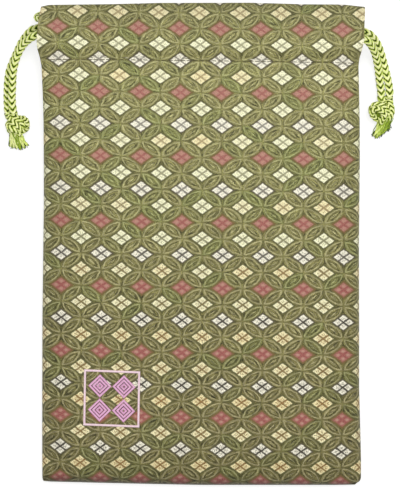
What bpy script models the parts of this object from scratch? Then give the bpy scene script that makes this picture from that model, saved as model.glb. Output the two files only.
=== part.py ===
"""Brocade drawstring bag, laid on its back with its two cords knotted at its sides.

Metres, +Z up, +Y towards the mouth and +X towards the right-hand knot.
The origin is on the table, under the middle of the bag without its cords.
"""

import math

import bmesh
import bpy
import numpy as np
from mathutils import Matrix, Vector

# Driving dimensions of the bag
BODY_WIDTH = 0.158
BAG_HEIGHT = 0.240
CORNER_RADIUS = 0.006
BROCADE_THICKNESS = 0.0008
LINING_THICKNESS = 0.0005
BODY_LEVEL = 0.0144  # inside of the front panel above the table
CROWN = 0.0008  # how far the middle of the front stands above that
SIDE_ROLL = 0.024
BOTTOM_ROLL = 0.026
STITCH_ROLL = 0.018
GAP = 0.0003

# Mouth hem: a casing on the front and one on the back, with the mouth between them
CASING_WIDTH = 0.163
CASING_DEPTH = 0.027
CORD_ROOM = 0.0003
MOUTH_GAP = 0.0048
THREAD_DIAMETER = 0.0005
STITCH_INSET = 0.0006

# Seams
SEAM_WIDTH = 0.005
SEAM_THICKNESS = 0.001
SEAM_LEVEL = 0.0026
SEAM_RISE_LENGTH = 0.065
LINING_INSET = 0.0068
TACK_WIDTH = 0.003
TACK_DEPTH = 0.0013
TACK_HEIGHT = 0.0032
TACK_ROUND = 0.0003

# Embroidered square
EMBLEM_SIZE = 0.027
EMBLEM_FROM_LEFT = 0.0342
EMBLEM_FROM_BOTTOM = 0.0432
EMBLEM_TILT_DEG = -2.0
EMBLEM_THREAD = 0.0012
DIAMOND_SIZE = 0.0085
DIAMOND_PITCH = 0.0115
EMBLEM_POINT_SPACING = 0.0024

# Cords
CORD_DIAMETER = 0.0036
CORD_POINT_SPACING = 0.009
BIGHT_POINT_SPACING = 0.0028
STRAND_POINT_SPACING = 0.0045
SLIDE_TRAVEL = 0.008
LEFT_BIGHT_SHOW = -0.0016
RIGHT_BIGHT_SHOW = 0.0026
EXIT_SETBACK = 0.0025
KNOT_THICKNESS = 0.0078
KNOT_TURN_DIAMETER = 0.0042
TUFT_LENGTH = 0.0076
TUFT_START = 0.0042
TUFT_END = 0.0058

# Worked out from the sizes above
HALF_WIDTH = BODY_WIDTH / 2
HALF_HEIGHT = BAG_HEIGHT / 2
STITCH_Y = HALF_HEIGHT - CASING_DEPTH
CHANNEL_HEIGHT = CORD_DIAMETER + 2 * CORD_ROOM
CASING_THICKNESS = CHANNEL_HEIGHT + 2 * BROCADE_THICKNESS
BACK_CENTRE = CASING_THICKNESS / 2
FRONT_CENTRE = BACK_CENTRE + CASING_THICKNESS + MOUTH_GAP
SLIT_LEVEL = (BACK_CENTRE + FRONT_CENTRE) / 2
BIGHT_REACH = (FRONT_CENTRE - BACK_CENTRE) / 2
BIGHT_X = CASING_WIDTH / 2 - CORD_DIAMETER / 2 - BIGHT_REACH
EXIT_X = CASING_WIDTH / 2 - EXIT_SETBACK
FACING_END = BIGHT_X + min(LEFT_BIGHT_SHOW, RIGHT_BIGHT_SHOW) - SLIDE_TRAVEL + CORD_ROOM

# Cords in the casings: distances below the top edge at the exit behind, and at the bight in front and behind,
# how much lower the cord leaves in front, and how far the bight shows past the casing's end
LEFT_RUN = {
    "exit": 0.0115, "front_drop": 0.0035, "front_bight": 0.0205, "back_bight": 0.0220, "show": LEFT_BIGHT_SHOW,
}
RIGHT_RUN = {
    "exit": 0.0133, "front_drop": 0.0037, "front_bight": 0.0070, "back_bight": 0.0048, "show": RIGHT_BIGHT_SHOW,
}

# Free strands: points chosen by hand, outwards and up from the exit behind, and height above the table
LEFT_FRONT_ROUTE = [
    (0.0033, -0.0039, 0.0130), (0.0064, -0.0053, 0.0114), (0.0091, -0.0072, 0.0092),
    (0.0110, -0.0093, 0.0076), (0.0125, -0.0117, 0.0065), (0.0138, -0.0146, 0.0060),
    (0.0147, -0.0175, 0.0058), (0.0154, -0.0205, 0.0056), (0.0158, -0.0241, 0.0054),
    (0.0160, -0.0290, 0.0052), (0.0162, -0.0345, 0.0051), (0.0159, -0.0391, 0.0050),
    (0.0152, -0.0432, 0.0049),
]
LEFT_BACK_ROUTE = [
    (0.0032, -0.0001, 0.0029), (0.0059, -0.0013, 0.0026), (0.0081, -0.0033, 0.0022),
    (0.0101, -0.0058, 0.0020), (0.0119, -0.0086, 0.0020), (0.0137, -0.0123, 0.0020),
    (0.0157, -0.0164, 0.0020), (0.0173, -0.0205, 0.0020), (0.0181, -0.0245, 0.0020),
    (0.0185, -0.0295, 0.0020), (0.0186, -0.0345, 0.0020), (0.0184, -0.0395, 0.0020),
    (0.0181, -0.0432, 0.0020),
]
RIGHT_FRONT_ROUTE = [
    (0.0031, -0.0044, 0.0127), (0.0055, -0.0064, 0.0106), (0.0074, -0.0095, 0.0079),
    (0.0086, -0.0131, 0.0054), (0.0093, -0.0171, 0.0037), (0.0097, -0.0211, 0.0028),
    (0.0101, -0.0255, 0.0026), (0.0108, -0.0297, 0.0026), (0.0115, -0.0339, 0.0027),
]
RIGHT_BACK_ROUTE = [
    (0.0034, 0.0000, 0.0029), (0.0061, -0.0015, 0.0026), (0.0082, -0.0039, 0.0022),
    (0.0099, -0.0069, 0.0020), (0.0112, -0.0103, 0.0020), (0.0124, -0.0143, 0.0020),
    (0.0136, -0.0185, 0.0020), (0.0147, -0.0227, 0.0020), (0.0157, -0.0267, 0.0020),
    (0.0161, -0.0302, 0.0022), (0.0156, -0.0335, 0.0025),
]

# Knots and frayed ends: middle of the knot from the exit, its size across and along, and its turn
LEFT_KNOT = {"out": 0.0134, "up": -0.0483, "across": 0.0118, "along": 0.0090, "turn_deg": 22.0}
RIGHT_KNOT = {"out": 0.0118, "up": -0.0399, "across": 0.0142, "along": 0.0118, "turn_deg": 34.0}
LEFT_TUFT_ANGLES_DEG = (-12.0, 9.0)
RIGHT_TUFT_ANGLES_DEG = (-20.0, 2.0)

# Counts, and proportions chosen by eye
PANEL_COLUMNS = 16
PANEL_ROWS = 18
SEAM_PIECES = 14
CASING_POINTS = 28
CASING_SQUARENESS = 3.0
ROUTE_FINENESS = 24
TUBE_RESOLUTION = 2
THREAD_RESOLUTION = 1
ROUND_END_STEPS = 4
TUFT_SIDES = 10
FACING_CUT_share = 0.25
KNOT_CORE_share = 0.62
TUFT_SPREAD_share = 0.5

COLOURS = {
    "brocade": ((0.26, 0.23, 0.10, 1.0), 0.55),
    "lining": ((0.34, 0.05, 0.06, 1.0), 0.60),
    "seam": ((0.14, 0.12, 0.05, 1.0), 0.70),
    "thread": ((0.10, 0.08, 0.04, 1.0), 0.60),
    "embroidery": ((0.86, 0.40, 0.66, 1.0), 0.35),
    "cord": ((0.48, 0.66, 0.12, 1.0), 0.50),
    "tuft": ((0.38, 0.56, 0.09, 1.0), 0.65),
}


def clear_scene():
    """Start from an empty scene."""
    for old in list(bpy.data.objects):
        bpy.data.objects.remove(old, do_unlink=True)


def collection(name):
    made = bpy.data.collections.new(name)
    bpy.context.scene.collection.children.link(made)
    return made


def material(kind):
    """The Principled material of one kind of cloth or thread."""
    made = bpy.data.materials.get(kind) or bpy.data.materials.new(kind)
    made.use_nodes = True
    shader = made.node_tree.nodes["Principled BSDF"]
    colour, roughness = COLOURS[kind]
    shader.inputs["Base Color"].default_value = colour
    shader.inputs["Roughness"].default_value = roughness
    shader.inputs["Metallic"].default_value = 0.0
    return made


def place(name, data, kind, parent=None):
    """Put a mesh or a curve in the bag's collection, with its material."""
    made = bpy.data.objects.new(name, data)
    data.materials.append(material(kind))
    BAG.objects.link(made)
    made.parent = parent
    return made


def mesh_from(bm, name):
    made = bpy.data.meshes.new(name)
    bm.to_mesh(made)
    bm.free()
    return made


def as_mesh(source):
    """Turn a curve object into a mesh object whose caps are welded on."""
    bpy.context.view_layer.update()
    seen = source.evaluated_get(bpy.context.evaluated_depsgraph_get())
    made = bpy.data.meshes.new_from_object(seen)
    bm = bmesh.new()
    bm.from_mesh(made)
    bmesh.ops.remove_doubles(bm, verts=bm.verts, dist=THREAD_DIAMETER / 100)
    bm.to_mesh(made)
    bm.free()
    name = source.name
    replaced = bpy.data.objects.new(name + "_solid", made)
    replaced.matrix_world = source.matrix_world
    BAG.objects.link(replaced)
    bpy.data.objects.remove(source, do_unlink=True)
    replaced.name = name
    return replaced


def combine(target, other, operation):
    """Cut the target with the other object, or join them, and keep the other as a hidden guide."""
    step = target.modifiers.new(operation.title(), "BOOLEAN")
    step.operation = operation
    step.solver = "EXACT"
    step.object = other
    for old in list(other.users_collection):
        old.objects.unlink(other)
    CUTTERS.objects.link(other)
    other.hide_render = True
    other.display_type = "WIRE"


def roll(distance, width):
    """Quarter ellipse: share of the full rise at a distance in from an edge that rolls over."""
    near = np.clip(distance / width, 0, 1)
    return np.sqrt(1 - (1 - near) ** 2)


def ease(value):
    """Smooth step from 0 to 1."""
    near = np.clip(value, 0, 1)
    return near * near * (3 - 2 * near)


def seam_level(y):
    """Height of the side seam: low along the body, half way between the casings at the slit."""
    rise = ease((y - STITCH_Y + SEAM_RISE_LENGTH) / SEAM_RISE_LENGTH)
    return SEAM_LEVEL + (SLIT_LEVEL - SEAM_LEVEL) * rise


def edge_share(x, y, inset):
    """Nothing on the side and bottom edges, and 1 where both have rolled over."""
    sides = roll(HALF_WIDTH - inset - abs(x), SIDE_ROLL)
    return sides * roll(y + HALF_HEIGHT - inset, BOTTOM_ROLL)


def front_inside(x, y, inset=BROCADE_THICKNESS, low=SEAM_THICKNESS / 2 + GAP, under=0.0):
    """Inner face of a front panel: up from the seam, crowned, and drawn in at the stitching."""
    crown = CROWN * np.cos(math.pi / 2 * x / HALF_WIDTH) * np.cos(math.pi / 2 * y / HALF_HEIGHT)
    stitched = FRONT_CENTRE - BROCADE_THICKNESS / 2
    top = stitched + (BODY_LEVEL + crown - stitched) * ease((STITCH_Y - y) / STITCH_ROLL) - under
    edge = seam_level(y) + low
    return edge + (top - edge) * edge_share(x, y, inset)


def back_inside(x, y, inset=BROCADE_THICKNESS, low=SEAM_THICKNESS / 2 + GAP, over=0.0):
    """Inner face of a back panel: flat on the table, up to the seam and up at the stitching."""
    stitched = BACK_CENTRE + BROCADE_THICKNESS / 2
    lift = 1 - ease((STITCH_Y - y) / STITCH_ROLL)
    floor = BROCADE_THICKNESS + (stitched - BROCADE_THICKNESS) * lift + over
    edge = seam_level(y) - low
    return edge + (floor - edge) * edge_share(x, y, inset)


def cloth_panel(name, kind, height, thickness, outward, inset, **fit):
    """A panel: a grid over the bag's plan, closer at its edges, lifted to its height."""
    bm = bmesh.new()
    bmesh.ops.create_grid(bm, x_segments=PANEL_COLUMNS, y_segments=PANEL_ROWS, size=1.0)
    half = HALF_WIDTH - inset
    low, high = inset - HALF_HEIGHT, STITCH_Y - GAP / 2
    for vert in bm.verts:
        x = half * math.sin(math.pi / 2 * vert.co.x)
        y = (low + high) / 2 + (high - low) / 2 * math.sin(math.pi / 2 * vert.co.y)
        corner = max(0, 1 - (half - abs(x)) / CORNER_RADIUS) * max(0, 1 - (y - low) / CORNER_RADIUS)
        inwards = corner * CORNER_RADIUS * (1 - math.sqrt(2) / 2)
        z = height(x, y, inset=inset, **fit)
        vert.co = (x - math.copysign(inwards, x), y + inwards, z)
    made = place(name, mesh_from(bm, name), kind)
    wall = made.modifiers.new("Thickness", "SOLIDIFY")
    wall.thickness = thickness
    wall.offset = outward
    return made


def panels():
    """Brocade front and back, and the two panels of the lining inside them."""
    outer = {"thickness": BROCADE_THICKNESS, "inset": BROCADE_THICKNESS}
    cloth_panel("outer_front", "brocade", front_inside, outward=1, **outer)
    cloth_panel("outer_back", "brocade", back_inside, outward=-1, **outer)
    lining = {"thickness": LINING_THICKNESS, "inset": LINING_INSET, "low": GAP / 2}
    inside = GAP + LINING_THICKNESS
    cloth_panel("lining_front", "lining", front_inside, outward=1, under=inside, **lining)
    cloth_panel("lining_back", "lining", back_inside, outward=-1, over=inside, **lining)


def seam_strip(name, start, end, across):
    """A pressed seam allowance: a strip along a line, as high as the seam is there."""
    bm = bmesh.new()
    bmesh.ops.create_grid(bm, x_segments=1, y_segments=SEAM_PIECES, size=1.0)
    for vert in bm.verts:
        spot = start.lerp(end, (vert.co.y + 1) / 2) + across * (vert.co.x + 1) / 2
        vert.co = (spot.x, spot.y, seam_level(spot.y))
    made = place(name, mesh_from(bm, name), "seam")
    wall = made.modifiers.new("Thickness", "SOLIDIFY")
    wall.thickness = SEAM_THICKNESS
    wall.offset = 0
    return made


def seams():
    """Side seams up to the slits, the bottom seam, and a bar tack above each side seam."""
    edge = HALF_WIDTH - GAP
    for side, name in ((-1, "left"), (1, "right")):
        foot = Vector((side * edge, CORNER_RADIUS - HALF_HEIGHT))
        head = Vector((side * edge, STITCH_Y - GAP))
        seam_strip(name + "_side_seam", foot, head, Vector((-side * SEAM_WIDTH, 0)))
        tack = bmesh.new()
        bmesh.ops.create_cube(tack, size=1.0)
        bmesh.ops.scale(tack, vec=(TACK_WIDTH, TACK_DEPTH, TACK_HEIGHT), verts=tack.verts)
        made = place(name + "_slit_tack", mesh_from(tack, name + "_slit_tack"), "thread")
        made.location = (side * (HALF_WIDTH - TACK_WIDTH / 2), STITCH_Y + TACK_DEPTH / 2, SLIT_LEVEL)
        edges = made.modifiers.new("Round", "BEVEL")
        edges.width = TACK_ROUND
        edges.segments = 2
    left = Vector((CORNER_RADIUS - HALF_WIDTH, GAP - HALF_HEIGHT))
    right = Vector((HALF_WIDTH - CORNER_RADIUS, GAP - HALF_HEIGHT))
    seam_strip("bottom_seam", left, right, Vector((0, SEAM_WIDTH)))


def superellipse(half_depth, half_height):
    """Closed outline, flat on its long sides and round at its ends."""
    turn = np.linspace(0, 2 * math.pi, CASING_POINTS, endpoint=False)
    power = 2 / CASING_SQUARENESS
    across = half_depth * np.sign(np.cos(turn)) * abs(np.cos(turn)) ** power
    up = half_height * np.sign(np.sin(turn)) * abs(np.sin(turn)) ** power
    return np.stack([across, up, np.zeros(CASING_POINTS)], axis=1)


def add_spline(curve, points, closed=False, radii=None):
    spline = curve.splines.new("POLY")
    spline.points.add(len(points) - 1)
    rows = np.hstack([np.asarray(points), np.ones((len(points), 1))])
    spline.points.foreach_set("co", rows.ravel())
    spline.use_cyclic_u = closed
    if radii is not None:
        spline.points.foreach_set("radius", radii)
    return spline


def casing(name, centre, facing_side):
    """A hem folded to the inside and stitched down, a flat tube whose facing stops short of its ends."""
    half_depth = (CASING_DEPTH - GAP / 2) / 2
    curve = bpy.data.curves.new(name, "CURVE")
    curve.dimensions = "2D"
    curve.fill_mode = "BOTH"
    curve.extrude = CASING_WIDTH / 2
    add_spline(curve, superellipse(half_depth, CASING_THICKNESS / 2), closed=True)
    add_spline(curve, superellipse(half_depth - BROCADE_THICKNESS, CHANNEL_HEIGHT / 2), closed=True)
    made = place(name, curve, "brocade")
    made.location = (0, HALF_HEIGHT - half_depth, centre)
    made.rotation_euler = (math.pi / 2, 0, math.pi / 2)
    made = as_mesh(made)
    deep = CASING_THICKNESS
    for side in (-1, 1):
        block = bmesh.new()
        bmesh.ops.create_cube(block, size=1.0)
        size = (CASING_WIDTH / 2, CASING_DEPTH * 2, deep)
        bmesh.ops.scale(block, vec=size, verts=block.verts)
        cutter = bpy.data.objects.new(name + "_cutter", mesh_from(block, name + "_cutter"))
        middle = centre + facing_side * (deep / 2 + FACING_CUT_share * CASING_THICKNESS)
        cutter.location = (side * (FACING_END + size[0] / 2), HALF_HEIGHT - half_depth, middle)
        CUTTERS.objects.link(cutter)
        combine(made, cutter, "DIFFERENCE")
    return made


def tube(name, points, diameter, kind, closed=False, radii=None, parent=None, resolution=TUBE_RESOLUTION):
    """A cord or thread: a curve with a round bevel and filled ends."""
    curve = bpy.data.curves.new(name, "CURVE")
    curve.dimensions = "3D"
    curve.bevel_depth = diameter / 2
    curve.bevel_resolution = resolution
    curve.use_fill_caps = True
    add_spline(curve, points, closed, radii)
    return place(name, curve, kind, parent)


def stitching():
    """The line of thread that holds each casing's folded edge."""
    reach = HALF_WIDTH - SIDE_ROLL / 2
    across = np.linspace(-reach, reach, PANEL_COLUMNS)
    y = STITCH_Y - STITCH_INSET
    away = BROCADE_THICKNESS + GAP + THREAD_DIAMETER / 2
    for name, height, side in (("front", front_inside, 1), ("back", back_inside, -1)):
        line = [(x, y, height(x, y) + side * away) for x in across]
        tube(name + "_casing_stitching", line, THREAD_DIAMETER, "thread", resolution=THREAD_RESOLUTION)


def closed_polygon(corners, spacing):
    """Points along the sides of a closed polygon, its corners among them."""
    rows = []
    for a, b in zip(corners, corners[1:] + corners[:1]):
        steps = max(2, round((b - a).length / spacing))
        rows += [a.lerp(b, i / steps) for i in range(steps)]
    return rows


def emblem():
    """A raised square of satin stitch on the front, with four diamonds inside it."""
    middle = Vector((EMBLEM_FROM_LEFT - HALF_WIDTH, EMBLEM_FROM_BOTTOM - HALF_HEIGHT))
    turn = Matrix.Rotation(math.radians(EMBLEM_TILT_DEG), 2)
    lift = BROCADE_THICKNESS + GAP + EMBLEM_THREAD / 2

    def on_front(corners):
        flat = closed_polygon([middle + turn @ c for c in corners], EMBLEM_POINT_SPACING)
        return [(p.x, p.y, front_inside(p.x, p.y) + lift) for p in flat]

    half = EMBLEM_SIZE / 2
    square = [Vector((-half, -half)), Vector((half, -half)), Vector((half, half)), Vector((-half, half))]
    tube("emblem_frame", on_front(square), EMBLEM_THREAD, "embroidery", True, resolution=THREAD_RESOLUTION)
    reach, step = DIAMOND_SIZE / 2, DIAMOND_PITCH / 2
    corners = [Vector((-reach, 0)), Vector((0, -reach)), Vector((reach, 0)), Vector((0, reach))]
    spots = [Vector((i * step, j * step)) for j in (1, -1) for i in (-1, 1)]
    for number, spot in enumerate(spots, 1):
        name = f"emblem_diamond_{number}"
        points = on_front([spot + corner for corner in corners])
        tube(name, points, EMBLEM_THREAD, "embroidery", True, resolution=THREAD_RESOLUTION)


def spaced(fine, spacing):
    """Points at even steps along a fine line, its ends among them."""
    along = np.concatenate([[0], np.cumsum(np.linalg.norm(np.diff(fine, axis=0), axis=1))])
    at = np.linspace(0, along[-1], round(along[-1] / spacing) + 1)
    return np.stack([np.interp(at, along, fine[:, k]) for k in range(3)], axis=1)


def smooth_route(points, spacing):
    """A smooth curve through a route's own points, read at even steps."""
    route = np.array(points)
    ends = np.vstack([2 * route[0] - route[1], route, 2 * route[-1] - route[-2]])
    t = np.linspace(0, 1, ROUTE_FINENESS, endpoint=False)[:, None]
    fine = []
    for a, b, c, d in zip(ends, ends[1:], ends[2:], ends[3:]):
        cubic = (3 * b - 3 * c + d - a) * t**3 + (2 * a - 5 * b + 4 * c - d) * t**2
        fine.append((cubic + (c - a) * t + 2 * b) / 2)
    return spaced(np.vstack(fine + [route[-1:]]), spacing)


def axis_at(name, spot):
    """An empty on a joint's axis, which the pieces that move with it are parented to."""
    made = bpy.data.objects.new(name, None)
    made.location = spot
    BAG.objects.link(made)
    return made


def cord_loop(name, side, run, parent, corner):
    """The held part of a cord: along the front casing, round its bight, and back behind."""
    far = -side * (BIGHT_X + run["show"])
    front = np.array([far, HALF_HEIGHT - run["front_bight"], FRONT_CENTRE])
    back = np.array([far, HALF_HEIGHT - run["back_bight"], BACK_CENTRE])
    exit_x = corner.x - side * (CORD_DIAMETER / 2 + GAP)
    front_exit = np.array([exit_x, corner.y - run["front_drop"], FRONT_CENTRE])
    back_exit = np.array([exit_x, corner.y, BACK_CENTRE])
    turn = np.linspace(0, math.pi, ROUTE_FINENESS)[:, None]
    bulge = np.array([-side * BIGHT_REACH, 0, 0])
    bight = (front + back) / 2 + (front - back) / 2 * np.cos(turn) + bulge * np.sin(turn)
    runs = [spaced(np.stack([front_exit, front]), CORD_POINT_SPACING)]
    runs.append(spaced(bight, BIGHT_POINT_SPACING)[1:-1])
    runs.append(spaced(np.stack([back, back_exit]), CORD_POINT_SPACING))
    tube(name, np.vstack(runs) - np.array(corner), CORD_DIAMETER, "cord", parent=parent)


def free_strand(name, side, drop, route, height, parent):
    """A free end of a cord, round where it leaves the casing so that it can swing there."""
    points = [(0, -drop, height)] + [(side * out, up, level) for out, up, level in route]
    line = smooth_route(points, STRAND_POINT_SPACING)
    first = line[1] - line[0]
    first /= np.linalg.norm(first)
    angles = np.linspace(math.pi / 2, 0, ROUND_END_STEPS, endpoint=False)
    tip = line[0] - np.sin(angles)[:, None] * first * CORD_DIAMETER / 2
    radii = np.concatenate([np.maximum(np.cos(angles), 1 / ROUTE_FINENESS), np.ones(len(line))])
    tube(name, np.vstack([tip, line]), CORD_DIAMETER, "cord", radii=radii, parent=parent)


def knot(name, side, facts, parent):
    """Both strands tied together: a thick core with a turn wound round it, flattened by lying down."""
    flat = KNOT_THICKNESS / facts["across"]
    core = bmesh.new()
    bmesh.ops.create_uvsphere(core, u_segments=16, v_segments=10, radius=facts["across"] / 2)
    along = facts["along"] / facts["across"]
    bmesh.ops.scale(core, vec=(KNOT_CORE_share, along, KNOT_CORE_share * flat), verts=core.verts)
    made = place(name, mesh_from(core, name), "cord", parent)
    made.location = (side * facts["out"], facts["up"], KNOT_THICKNESS / 2)
    bpy.ops.mesh.primitive_torus_add(
        major_segments=22, minor_segments=10,
        major_radius=(facts["across"] - KNOT_TURN_DIAMETER) / 2, minor_radius=KNOT_TURN_DIAMETER / 2,
    )
    turn = bpy.context.object
    turn.name = name + "_turn"
    stand = Matrix.Rotation(math.pi / 2, 4, "X")
    lean = Matrix.Rotation(math.radians(side * facts["turn_deg"]), 4, "Z")
    turn.data.transform(Matrix.Diagonal((1, 1, flat, 1)) @ lean @ stand)
    turn.parent = parent
    turn.location = made.location
    combine(made, turn, "UNION")


def tufts(name, side, facts, angles, parent):
    """The cord's two frayed ends, fanned out below the knot."""
    start = facts["along"] / 2 + GAP
    for place_name, angle, shift in zip(("inner", "outer"), angles, (-1, 1)):
        brush = bmesh.new()
        bmesh.ops.create_cone(
            brush, cap_ends=True, segments=TUFT_SIDES, depth=TUFT_LENGTH,
            radius1=TUFT_END / 2, radius2=TUFT_START / 2,
        )
        lay = Matrix.Rotation(-math.pi / 2, 4, "X")
        lean = Matrix.Rotation(math.radians(side * angle), 4, "Z")
        drop = Matrix.Translation((0, -TUFT_LENGTH / 2, 0))
        bmesh.ops.transform(brush, matrix=lean @ drop @ lay, verts=brush.verts)
        made = place(f"{name}_{place_name}_tuft", mesh_from(brush, name), "tuft", parent)
        out = facts["out"] + shift * TUFT_SPREAD_share * (TUFT_START + GAP)
        made.location = (side * out, facts["up"] - start, TUFT_END / 2)


def cord(name, side, run, routes, facts, angles):
    """One cord: its loop slides in the casings, and its free ends, knot and tufts swing at the exit."""
    corner = Vector((side * EXIT_X, HALF_HEIGHT - run["exit"], 0))
    slide = axis_at(name + "_slide_axis", corner)
    cord_loop(name + "_loop", side, run, slide, corner)
    swing = axis_at(name + "_swing_axis", (0, 0, 0))
    swing.parent = slide
    free_strand(name + "_front_strand", side, run["front_drop"], routes[0], FRONT_CENTRE, swing)
    free_strand(name + "_back_strand", side, 0, routes[1], BACK_CENTRE, swing)
    knot(name + "_knot", side, facts, swing)
    tufts(name, side, facts, angles, swing)


clear_scene()
BAG = collection("brocade_drawstring_bag")
CUTTERS = collection("cutters")
panels()
seams()
casing("front_casing", FRONT_CENTRE, -1)
casing("back_casing", BACK_CENTRE, 1)
stitching()
emblem()
cord("left_cord", -1, LEFT_RUN, (LEFT_FRONT_ROUTE, LEFT_BACK_ROUTE), LEFT_KNOT, LEFT_TUFT_ANGLES_DEG)
cord("right_cord", 1, RIGHT_RUN, (RIGHT_FRONT_ROUTE, RIGHT_BACK_ROUTE), RIGHT_KNOT, RIGHT_TUFT_ANGLES_DEG)
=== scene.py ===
"""Brocade drawstring bag on a white table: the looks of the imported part, piece by piece.

Metres, +Z up, +Y towards the bag's mouth and +X towards its right-hand knot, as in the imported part.
"""

import math

import bpy
import numpy as np
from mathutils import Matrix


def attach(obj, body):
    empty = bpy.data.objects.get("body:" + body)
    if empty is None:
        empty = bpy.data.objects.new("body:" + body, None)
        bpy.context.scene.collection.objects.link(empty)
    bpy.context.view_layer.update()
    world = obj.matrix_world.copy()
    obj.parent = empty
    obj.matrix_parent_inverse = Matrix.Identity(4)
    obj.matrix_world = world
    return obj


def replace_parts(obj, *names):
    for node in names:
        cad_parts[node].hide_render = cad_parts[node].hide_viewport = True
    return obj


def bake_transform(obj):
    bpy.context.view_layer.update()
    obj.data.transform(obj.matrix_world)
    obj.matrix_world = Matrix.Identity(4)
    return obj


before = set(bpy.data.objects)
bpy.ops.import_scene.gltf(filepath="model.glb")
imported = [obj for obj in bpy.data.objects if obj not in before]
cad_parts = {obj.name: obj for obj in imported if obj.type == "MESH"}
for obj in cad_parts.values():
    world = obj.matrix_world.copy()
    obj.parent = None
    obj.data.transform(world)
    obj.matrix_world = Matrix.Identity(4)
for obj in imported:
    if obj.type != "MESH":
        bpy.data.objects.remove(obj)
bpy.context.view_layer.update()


# Camera: straight above the bag, from so far away that it hardly sees perspective,
# as a copying stand with a long lens would. The picture is 400 by 488, and 244 mm high.
PICTURE_HEIGHT = 0.244
PICTURE_MIDDLE = (-0.00075, 0.00025)
SHARP_LEVEL = 0.012  # level above the table at which the picture's height is measured
LENS_MM = 250.0
SENSOR_MM = 36.0

camera = bpy.data.objects.new("camera", bpy.data.cameras.new("camera"))
camera.data.lens = LENS_MM
camera.data.sensor_width = SENSOR_MM
camera.data.clip_end = 20.0
camera.location = (*PICTURE_MIDDLE, SHARP_LEVEL + PICTURE_HEIGHT * LENS_MM / SENSOR_MM)
bpy.context.scene.collection.objects.link(camera)
bpy.context.scene.camera = camera
bpy.context.scene.view_settings.view_transform = "Standard"


# Table and light: a matt sheet that glows to the camera, so that it looks white but keeps the bag's shadow.
# The white tent round it is dim near the table and bright overhead. A wide soft lamp hangs above and beyond
# the bag's mouth, and a weaker one to its left.
TABLE_HALF = 3.0
TABLE_COLOUR = "#B4B4B4"
TABLE_GLOW = 0.72
TENT_LOW, TENT_TOP = 0.22, 0.77  # the tent's light near the table and straight above
LAMP_SIZE = 0.6
LAMP_PLACE = (0.22, 0.30, 0.75)
LAMP_WATTS = 3.1
SIDE_LAMP_PLACE = (-0.75, -0.15, 0.8)
SIDE_LAMP_WATTS = 1.0


def linear(code):
    """An sRGB hex colour as linear red, green, blue and alpha, by the standard's own curve."""
    share = np.array([int(code[i:i + 2], 16) for i in (1, 3, 5)]) / 255
    flat = np.where(share <= 0.04045, share / 12.92, ((share + 0.055) / 1.055) ** 2.4)
    return (*flat.tolist(), 1.0)


def add(tree, kind, *inputs, out=0, stops=(), **settings):
    """Adds one shader node and gives back one of its outputs.

    Its inputs come in order, as links, hex colours or numbers, and None leaves one alone. A second word in
    kind is the operation, and stops are a ramp's places with their colours.
    """
    kind, _, operation = kind.partition(" ")
    node = tree.nodes.new("ShaderNode" + kind)
    if operation:
        node.operation = operation
    for name, value in settings.items():
        setattr(node, name, value)
    for number, (place, colour) in enumerate(stops):
        ramp = node.color_ramp.elements
        stop = ramp[number] if number < 2 else ramp.new(place)
        stop.color = linear(colour)
        stop.position = place
    for socket, value in zip(node.inputs, inputs):
        if isinstance(value, bpy.types.NodeSocket):
            tree.links.new(value, socket)
        elif isinstance(value, str):
            socket.default_value = linear(value)
        elif value is not None:
            socket.default_value = value
    return node.outputs[out]


def finish_of(name, roughness, specular=0.4, sheen=0.0):
    """A Principled material with its fixed values on its own sockets, its tree and its shader."""
    made = bpy.data.materials.new(name)
    made.use_nodes = True
    shader = made.node_tree.nodes["Principled BSDF"]
    fixed = {"Roughness": roughness, "Specular IOR Level": specular, "Sheen Weight": sheen}
    for socket, value in fixed.items():
        shader.inputs[socket].default_value = value
    return made, made.node_tree, shader


paper = bpy.data.materials.new("matt white paper")
paper.use_nodes = True
tree = paper.node_tree
tree.nodes.remove(tree.nodes["Principled BSDF"])
ray = add(tree, "LightPath").node.outputs
seen = add(tree, "Math MAXIMUM", ray["Is Camera Ray"], ray["Is Glossy Ray"])
seen = add(tree, "Math MAXIMUM", seen, ray["Is Transmission Ray"])
glow = add(tree, "Emission", "#FFFFFF", add(tree, "Math MULTIPLY", seen, TABLE_GLOW))
lit = add(tree, "AddShader", add(tree, "BsdfDiffuse", TABLE_COLOUR), glow)
tree.links.new(lit, tree.nodes["Material Output"].inputs["Surface"])

table_mesh = bpy.data.meshes.new("table")
corners = [(x * TABLE_HALF, y * TABLE_HALF, 0) for x, y in ((-1, -1), (1, -1), (1, 1), (-1, 1))]
table_mesh.from_pydata(corners, [], [(0, 1, 2, 3)])
table_mesh.materials.append(paper)
table = bpy.data.objects.new("table", table_mesh)
bpy.context.scene.collection.objects.link(table)

tent = bpy.data.worlds.new("white tent")
bpy.context.scene.world = tent
tent.use_nodes = True
tree = tent.node_tree
ray = add(tree, "LightPath").node.outputs
height = add(tree, "SeparateXYZ", add(tree, "TexCoord", out=0), out=2)
strength = add(tree, "MapRange", height, 0.0, 1.0, TENT_LOW, TENT_TOP)
strength = add(tree, "Math MAXIMUM", strength, ray["Is Camera Ray"])
sky = add(tree, "Background", "#FFFFFF", strength)
tree.links.new(sky, tree.nodes["World Output"].inputs["Surface"])

lamps = (("lamp", LAMP_PLACE, LAMP_WATTS), ("side_lamp", SIDE_LAMP_PLACE, SIDE_LAMP_WATTS))
for name, place, watts in lamps:
    lamp = bpy.data.objects.new(name, bpy.data.lights.new(name, "AREA"))
    lamp.data.size = LAMP_SIZE
    lamp.data.energy = watts
    lamp.location = place
    lamp.visible_camera = False
    lamp.rotation_euler = lamp.location.to_track_quat("Z", "Y").to_euler()
    bpy.context.scene.collection.objects.link(lamp)


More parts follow.
